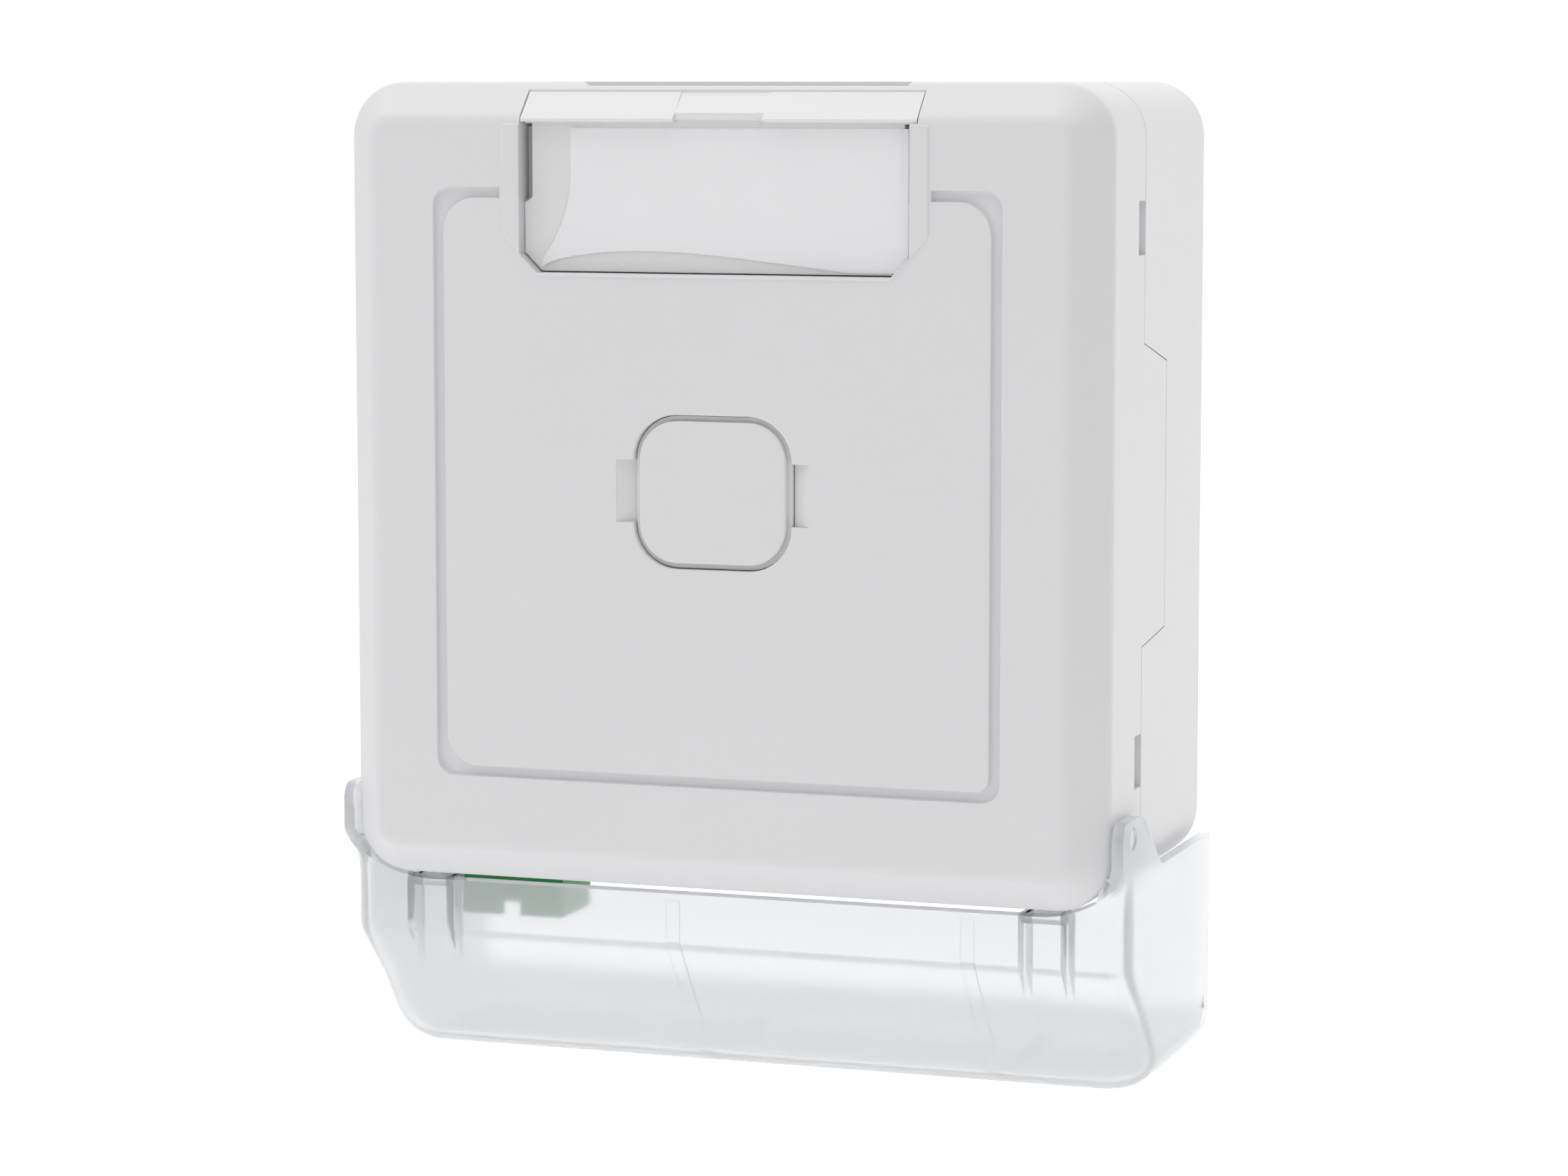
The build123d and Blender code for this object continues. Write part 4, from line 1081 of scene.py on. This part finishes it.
@dataclass
class FrontCover:
    """The front cover: a deep tray with a bevelled face, a label pocket, a cap well and a framing groove."""

    housing: Housing
    paint: Paint
    window: Window
    wall: float = 2.0
    face_wall: float = 2.4
    lip_gap: float = 0.85
    lip_room: float = 2.15
    groove_width: float = 1.25
    groove_depth: float = 0.7
    frame_sides: float = 33.4
    frame_top: float = 33.7
    frame_bottom: float = -33.2
    frame_end: float = 25.3
    island_round: float = 3.7
    island_tight: float = 1.6
    well: tuple[float, float, float] = (18.6, 17.2, 5.05)
    well_depth: float = 7.3
    well_floor: float = 2.0
    well_wall: float = 1.6
    screw_hole: float = 1.51
    tongue_top: float = 16.5
    tongue_bottom: float = -17.2
    tongue_reach: float = 9.8
    tongue_slant: float = 2.4
    pry_heights: tuple[float, float] = (29.4, -30.0)
    pin_radius: float = 1.25
    pin_depth: float = 7.6
    pin_up: float = 7.9
    pin_span: Point2 = (43.2, 46.4)
    boss_half: float = 25.1
    boss_drops: Point2 = (16.8, 4.6)
    boss_corners: Point2 = (0.6, 0.3)
    tub_low: float = 22.3
    tub_half: float = 24.9
    tub_depths: tuple[float, float, float] = (1.3, 4.3, 4.6)
    pry_depth: float = 2.9
    pry_half: float = 3.0
    ramp_span: Point2 = (9.2, 11.4)
    ramp_deep: float = 1.3
    ramp_shallow: float = 0.05
    ramp_half: float = 3.5
    recess: float = 0.45
    recess_span: Point2 = (-20.0, 21.5)

    def depth(self, value: float) -> float:
        """The y of a depth behind the face."""
        return self.housing.face_y + value

    def profile(self) -> list[Point2]:
        """The wall's section from the inner face round the seam to the outer face, as (inset, depth)."""
        seam, bevel = self.housing.seam_depth, self.housing.chamfer
        return rounded_path([Corner(self.wall + 2.9, self.face_wall),
                             Corner(self.wall, self.face_wall + 2.9, 0.6),
                             Corner(self.wall, seam - self.lip_room),
                             Corner(self.lip_gap, seam - self.lip_room),
                             Corner(self.lip_gap, seam), Corner(0.0, seam, 0.22), Corner(0.0, bevel, 1.3),
                             Corner(bevel, 0.0, 2.2), Corner(bevel + 1.5, 0.0)], 7)

    def groove(self) -> Outline:
        """The framing groove: nearly a full rectangle, open at the top where the window stands."""
        left, right, top, low = -self.frame_sides, self.frame_sides, self.frame_top, self.frame_bottom
        wide, end = self.groove_width, self.frame_end
        return Outline([Corner(-end, top), Corner(left, top, 2.1), Corner(left, low, 2.1),
                        Corner(right, low, 2.1),
                        Corner(right, top, 2.1), Corner(end, top), Corner(end, top - wide),
                        Corner(right - wide, top - wide, self.island_round),
                        Corner(right - wide, low + wide, self.island_tight),
                        Corner(left + wide, low + wide, self.island_round),
                        Corner(left + wide, top - wide, self.island_round), Corner(-end, top - wide)], 8)

    def body(self) -> bpy.types.Object:
        """The cover's main shape, with its well and grooves."""
        sketch, face = Sketch(), self.housing.face_y
        inner_edge, face_edge = sketch.swept(self.housing.outline(), self.profile(), face)
        groove_top, groove_floor = sketch.swept(self.groove(), rounded_path(
            [Corner(-0.16, 0.0), Corner(0.0, 0.0, 0.13), Corner(0.08, self.groove_depth, 0.15),
             Corner(0.3, self.groove_depth)], 4), face)
        sketch.flat(groove_floor)
        opening = rounded_rectangle(*self.well)
        well_top, well_floor = sketch.swept(opening, rounded_path(
            [Corner(-0.3, 0.0), Corner(0.0, 0.0, 0.25), Corner(0.0, self.well_depth)], 4), face)
        sketch.flat(face_edge, groove_top, well_top)
        back = self.well_depth + self.well_floor
        circle = [(self.screw_hole * math.cos(turn), self.screw_hole * math.sin(turn))
                  for turn in (2 * math.pi * step / 32 for step in range(32))]
        hole = [sketch.front_ring(circle, self.depth(level)) for level in (self.well_depth, back)]
        sketch.flat(well_floor, hole[0])
        sketch.skin(hole)
        outside = [sketch.front_ring(opening.drawn(-self.well_wall),
                                     self.depth(level)) for level in (back, self.face_wall)]
        sketch.flat(outside[0], hole[1])
        sketch.skin(outside)
        sketch.flat(inner_edge, outside[1])
        return sketch.made("front_cover_shell")

    def additions(self) -> bpy.types.Object:
        """The raised strip round the window, the pocket's tub, the side tongues and the hinge pins."""
        sketch, seam, high = Sketch(), self.housing.seam_depth, self.housing.top
        boss_half, foot = self.boss_half, high - self.window.drop - 0.4
        (shoulder, brow), (blunt, sharp) = self.boss_drops, self.boss_corners
        inner = self.window.half_width - self.window.cut
        boss = Outline([Corner(-inner, foot, blunt), Corner(inner, foot, blunt),
                        Corner(boss_half, high - shoulder, blunt), Corner(boss_half, high - brow, sharp),
                        Corner(-boss_half, high - brow, sharp), Corner(-boss_half, high - shoulder, blunt)])
        back, front = sketch.swept(boss, [(0.0, 0.5), (0.0, 0.0), (0.12, -0.15), (0.32, -0.2)],
                                   self.housing.face_y)
        sketch.flat(back)
        sketch.flat(front)
        near, far, back = (self.depth(level) for level in self.tub_depths)
        sketch.side_prism([(near, self.tub_low), (back, self.tub_low), (back, high - 0.6), (far, high - 0.6),
                           (near, high - 3.6)], -self.tub_half, self.tub_half)
        tip = seam + self.tongue_reach
        for side in Side:
            ends = sorted((side.value * self.housing.half_width,
                           side.value * (self.housing.half_width - self.wall)))
            sketch.side_prism([(self.depth(seam - 3.0), self.tongue_top),
                               (self.depth(seam - 3.0), self.tongue_bottom),
                               (self.depth(seam), self.tongue_bottom),
                               (self.depth(tip), self.tongue_bottom + self.tongue_slant / 2),
                               (self.depth(tip), self.tongue_top - self.tongue_slant),
                               (self.depth(seam), self.tongue_top)], *ends)
            pin_y, pin_z = self.depth(self.pin_depth), self.housing.bottom + self.pin_up
            sketch.rod(*((side.value * reach, pin_y, pin_z) for reach in self.pin_span),
                       [(0.0, self.pin_radius), (0.92, self.pin_radius), (1.0, self.pin_radius - 0.25)])
        return sketch.made("cover_additions")

    def cuts(self) -> bpy.types.Object:
        """The label pocket, its two latch slots, the pry slots, the finger ramps and the step in the top."""
        sketch, high, half = Sketch(), self.housing.top, self.housing.half_width
        sketch.prism(self.window.points(self.housing, 0.0, high + 2),
                     self.depth(self.window.pocket_depth), self.depth(-1))
        seam = self.housing.seam_depth
        sketch.block((22.0, self.depth(-1), 40.95), (23.8, self.depth(3.2), high + 2))
        left, right = self.recess_span
        sketch.prism([(left, high - self.recess), (right, high - self.recess), (22.1, high + 0.4),
                      (-21.3, high + 0.4)],
                     self.depth(seam - 2.0), self.depth(-1))
        for side in Side:
            for height in self.pry_heights:
                ends = sorted((side.value * (half - 1.0), side.value * (half + 1)))
                sketch.block((ends[0], self.depth(seam - self.pry_depth), height - self.pry_half),
                             (ends[1], self.depth(seam + 1), height + self.pry_half))
            start, end = (side.value * reach for reach in self.ramp_span)
            ramp = [(start, self.depth(-0.5)), (end, self.depth(-0.5)), (end, self.depth(self.ramp_shallow)),
                    (start, self.depth(self.ramp_deep))]
            low = sketch.ring((x, y, -self.ramp_half) for x, y in ramp)
            top = sketch.ring((x, y, self.ramp_half) for x, y in ramp)
            sketch.skin([low, top])
            sketch.mesh.faces.new(low)
            sketch.mesh.faces.new(top)
            ends = sorted((side.value * 22.9, side.value * 21.9))
            sketch.block((ends[0], self.depth(3.0), self.window.slot_low),
                         (ends[1], self.depth(6.0), self.window.slot_high))
        return sketch.made("cover_cuts")

    def build(self) -> None:
        """Make the cover."""
        cover = combined(self.body(), self.additions(), Joining.ADD)
        cover = combined(cover, self.cuts(), Joining.CUT, crossing=True)
        self.paint.dress(smoothed(cover), "cover_white", "cover", "front_cover")


@dataclass
class LabelSet:
    """What fills the label pocket: the white holder with its lips, the card and the clear window."""

    housing: Housing
    paint: Paint
    window: Window
    plate: float = 1.75
    plate_top: float = 41.6
    slot_width: float = 0.9
    lip_low: float = 41.0
    lip_high: float = 44.3
    left_lip: float = -4.6
    right_lip: float = 5.9
    fit: float = 0.15
    pane_fit: float = 0.3
    pane_thick: float = 0.8
    pane_top: float = 40.5

    def depth(self, value: float) -> float:
        """The y of a depth behind the face."""
        return self.housing.face_y + value

    def holder(self) -> None:
        """The plate behind the card, slotted for the latches, and the two lips over the window's top edge."""
        sketch = Sketch()
        half, floor = self.window.half_width - self.fit, self.window.pocket_depth
        low, cut = self.housing.top - self.window.drop + self.fit, self.window.cut
        slot_low, slot_high, notch = self.window.slot_low, self.window.slot_high, half - self.slot_width
        outline = [(cut - half, low), (half - cut, low), (half, low + cut), (half, slot_low),
                   (notch, slot_low + 0.7),
                   (notch, slot_high), (half, slot_high), (half, self.plate_top), (-half, self.plate_top),
                   (-half, slot_high), (-notch, slot_high), (-notch, slot_low + 0.7), (-half, slot_low),
                   (-half, low + cut)]
        sketch.prism(outline, self.depth(floor), self.depth(floor - self.plate))
        slope, bend = 0.1, self.housing.top - self.housing.chamfer
        rise = self.lip_high - bend
        section = [(self.depth(floor), self.lip_low), (self.depth(slope), self.lip_low),
                   (self.depth(slope), bend),
                   (self.depth(slope + rise), self.lip_high), (self.depth(floor), self.lip_high)]
        for low_x, high_x in ((-half, self.left_lip), (self.right_lip, half + 0.9)):
            sketch.side_prism(section, low_x, high_x)
        sketch.side_prism([(self.depth(floor), self.plate_top - 0.4),
                           (self.depth(0.75), self.plate_top - 0.4),
                           (self.depth(0.75), 42.0), (self.depth(floor - 0.02), 44.22),
                           (self.depth(floor), 44.22)],
                          self.left_lip - 0.3, self.right_lip + 0.3)
        sketch.soften(0.16, 3)
        self.paint.dress(smoothed(sketch.made("label_holder_insert"), 50), "holder_white", "cover",
                         "label_holder")

    def card(self) -> None:
        """A bowed card whose left and lower edges have lifted a little."""
        sketch, columns, rows = Sketch(), 48, 20
        back, top, right = self.depth(self.window.pocket_depth - self.plate - 0.06), 40.3, 22.35
        grid = []
        for row in range(rows + 1):
            line = []
            for column in range(columns + 1):
                rough = -20.6 + (right + 20.6) * column / columns
                along = min(max((rough + 20.8) / 36.3, 0.0), 1.0)
                low = 24.6 + 2.1 * math.sin(math.pi * along ** 0.62)
                up = low + (top - low) * row / rows
                left = -17.2 - 3.5 * max((35.0 - up) / 9.5, 0.0) ** 2
                share = column / columns
                lift = 0.10 * math.exp(-column / 4.0) + 0.10 * math.exp(-row / 2.0)
                line.append((max(left, -20.6) * (1 - share) + right * share, back - lift, up))
            grid.append(sketch.ring(line))
        sketch.skin(grid, closed=False)
        piece = sketch.made("bowed_label_card")
        thick = piece.modifiers.new("thick", "SOLIDIFY")
        thick.thickness = 0.06 * MM
        thick.offset = 0.0
        self.paint.dress(smoothed(settled(piece), 50), "card_paper", "cover", "label_card")

    def pane(self) -> None:
        """The clear window, with a notch each side and a thumb tab between the lips."""
        sketch = Sketch()
        half = self.window.half_width - self.pane_fit
        low = self.housing.top - self.window.drop + self.pane_fit
        cut, top, slot, slot_low = self.window.cut, self.pane_top, 0.75, 32.0
        back = self.depth(self.window.pocket_depth - self.plate - 0.25 - 0.1)
        front = back - self.pane_thick
        outline = [(cut - half, low), (half - cut, low), (half, low + cut), (half, slot_low),
                   (half - slot, slot_low + 0.5),
                   (half - slot, top), (slot - half, top), (slot - half, slot_low + 0.5), (-half, slot_low),
                   (-half, low + cut)]
        sketch.prism(outline, back, front)
        tab = [(-4.4, top - 0.4), (5.7, top - 0.4), (5.7, top), (4.9, 41.75), (-4.4, 41.75)]
        sketch.prism(tab, front + 0.7, front)
        sketch.soften(0.12, 2)
        self.paint.dress(smoothed(sketch.made("clear_label_window"), 50), "window_clear", "window",
                         "label_window")

    def build(self) -> None:
        """Make the three pieces."""
        self.holder()
        self.card()
        self.pane()


@dataclass
class ScrewCap:
    """The square cap over the cover screw, with a soft edge and two spring legs."""

    housing: Housing
    paint: Paint
    width: float = 17.3
    height: float = 15.9
    corner: float = 4.4
    plate: float = 1.6
    edge: float = 0.28
    ledge: float = 0.56
    ledge_depth: float = 0.85

    def build(self) -> None:
        """Make the cap."""
        sketch = Sketch()
        front, back = sketch.swept(rounded_rectangle(self.width, self.height, self.corner, steps=12),
                                   rounded_path(
            [Corner(1.6, 0.0), Corner(0.0, 0.0, self.edge), Corner(0.0, self.ledge_depth),
             Corner(-self.ledge, self.ledge_depth, 0.05),
             Corner(-self.ledge, self.plate, 0.15), Corner(0.5, self.plate)], 5),
            self.housing.face_y)
        sketch.flat(front)
        sketch.flat(back)
        legs = Sketch()
        for side in Side:
            ends = sorted((side.value * (self.width / 2 - 1.0), side.value * (self.width / 2 - 2.2)))
            legs.block((ends[0], self.housing.face_y + 1.2, -2.5),
                       (ends[1], self.housing.face_y + self.plate + 3.6, 2.5))
        legs.soften(0.2)
        data = legs.made("legs")
        sketch.mesh.from_mesh(data.data)
        bpy.data.objects.remove(data)
        self.paint.dress(smoothed(sketch.made("square_screw_cap")), "cap_white", "cap", "screw_cap")


# ------------------------------------------------------------------------------------ studio
class Wall(Enum):
    """The walls of the light room: where each looks from, and how bright it is."""

    BACK = ((0, 1, 0), 1.02)
    FRONT = ((0, -1, 0), 0.47)
    LEFT = ((-1, 0, 0), 0.78)
    RIGHT = ((1, 0, 0), 0.27)
    TOP = ((0, 0, 1), 1.48)


@dataclass
class Studio:
    """A pale floor in a room of soft white walls, and the camera."""

    eye: Point3 = (171.2, -509.7, 45.8)
    yaw_deg: float = 19.214
    dip_deg: float = 6.465
    lens: float = 103.3
    half: float = 1600.0
    floor_drop: float = 60.0

    def build(self) -> None:
        """Make the floor, the walls, the light and the camera."""
        self.camera()
        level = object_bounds()[0][2] / MM - self.floor_drop
        self.sheet("pale_floor", [(-self.half, -self.half, level), (self.half, -self.half, level),
                                  (self.half, self.half, level), (-self.half, self.half, level)], 0.60, 0.48)
        for wall in Wall:
            self.wall(wall, level)
        self.rim_light()
        world = bpy.data.worlds.new("dark_room")
        bpy.context.scene.world = world
        world.use_nodes = True
        world.node_tree.nodes["Background"].inputs["Strength"].default_value = 0.0
        bpy.context.scene.view_settings.view_transform = "Standard"

    def camera(self) -> None:
        """A long lens to the right of the front, looking slightly down."""
        data = bpy.data.cameras.new("view")
        data.sensor_width, data.lens, data.clip_start = 36.0, self.lens, 0.01
        camera = bpy.data.objects.new("view", data)
        camera.location = Vector(self.eye) * MM
        camera.rotation_euler = (math.radians(90 - self.dip_deg), 0.0, math.radians(self.yaw_deg))
        bpy.context.scene.collection.objects.link(camera)
        bpy.context.scene.camera = camera

    def sheet(self, name: str, corners: Sequence[Point3], albedo: float, glow: float) -> None:
        """One flat sheet of the room.

        Args:
            name: its name.
            corners: its corners in millimetres.
            albedo: how much light it gives back.
            glow: its own light.
        """
        sketch = Sketch()
        sketch.mesh.faces.new(sketch.ring(corners))
        piece = sketch.made(name)
        shader = Shader(name)
        shader.set(Base_Color=tone(albedo), Roughness=0.9, Emission_Color=tone(1.0), Emission_Strength=glow)
        piece.data.materials.append(shader.material)
        piece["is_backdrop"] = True

    def wall(self, wall: Wall, level: float) -> None:
        """One wall of the room or its ceiling.

        Args:
            wall: which one.
            level: the height of the floor.
        """
        way, glow = wall.value
        middle = Vector(way) * self.half
        upright = way[2] == 0
        side = (Vector((0, 0, 1)).cross(middle) if upright else Vector((1, 0, 0))).normalized() * self.half
        head = Vector((0, 0, self.half)) if upright else Vector((0, self.half, 0))
        foot = Vector((0, 0, level)) if upright else -head
        corners = [middle - side + foot, middle + side + foot, middle + side + head, middle - side + head]
        self.sheet(f"wall_{wall.name.lower()}", [tuple(corner) for corner in corners], 0.0, glow)

    def rim_light(self) -> None:
        """A soft panel behind and to the right, which lights the right side."""
        for name, place, power, size in (("panel_rear_right", (1.15, 0.95, 0.1), 3.1, 0.9),
                                         ("panel_top_left", (-0.5, -0.35, 1.1), 1.1, 0.7)):
            data = bpy.data.lights.new(name, "AREA")
            data.energy, data.size = power, size
            lamp = bpy.data.objects.new(name, data)
            lamp.location = place
            lamp.rotation_euler = (-Vector(place)).to_track_quat("-Z", "Y").to_euler()
            bpy.context.scene.collection.objects.link(lamp)


def dress_frame(paint: Paint) -> None:
    """Give every node of the frame its finish."""
    slots = {part["node"]: part["material_slot"] for part in frame["record"]["subparts"]}
    for name, node in frame["nodes"].items():
        node.data.materials.clear()
        node.data.materials.append(paint.finish(slots[name]))


def main() -> None:
    """Build the outlet's looks piece by piece."""
    logging.basicConfig(level=logging.INFO, format="%(message)s")
    paint = Paint()
    housing = Housing.from_frame()
    dress_frame(paint)
    Studio().build()
    window = Window()
    FrontCover(housing, paint, window).build()
    LabelSet(housing, paint, window).build()
    ScrewCap(housing, paint).build()
    Flap(housing, paint).build()


if __name__ == "__main__":
    main()
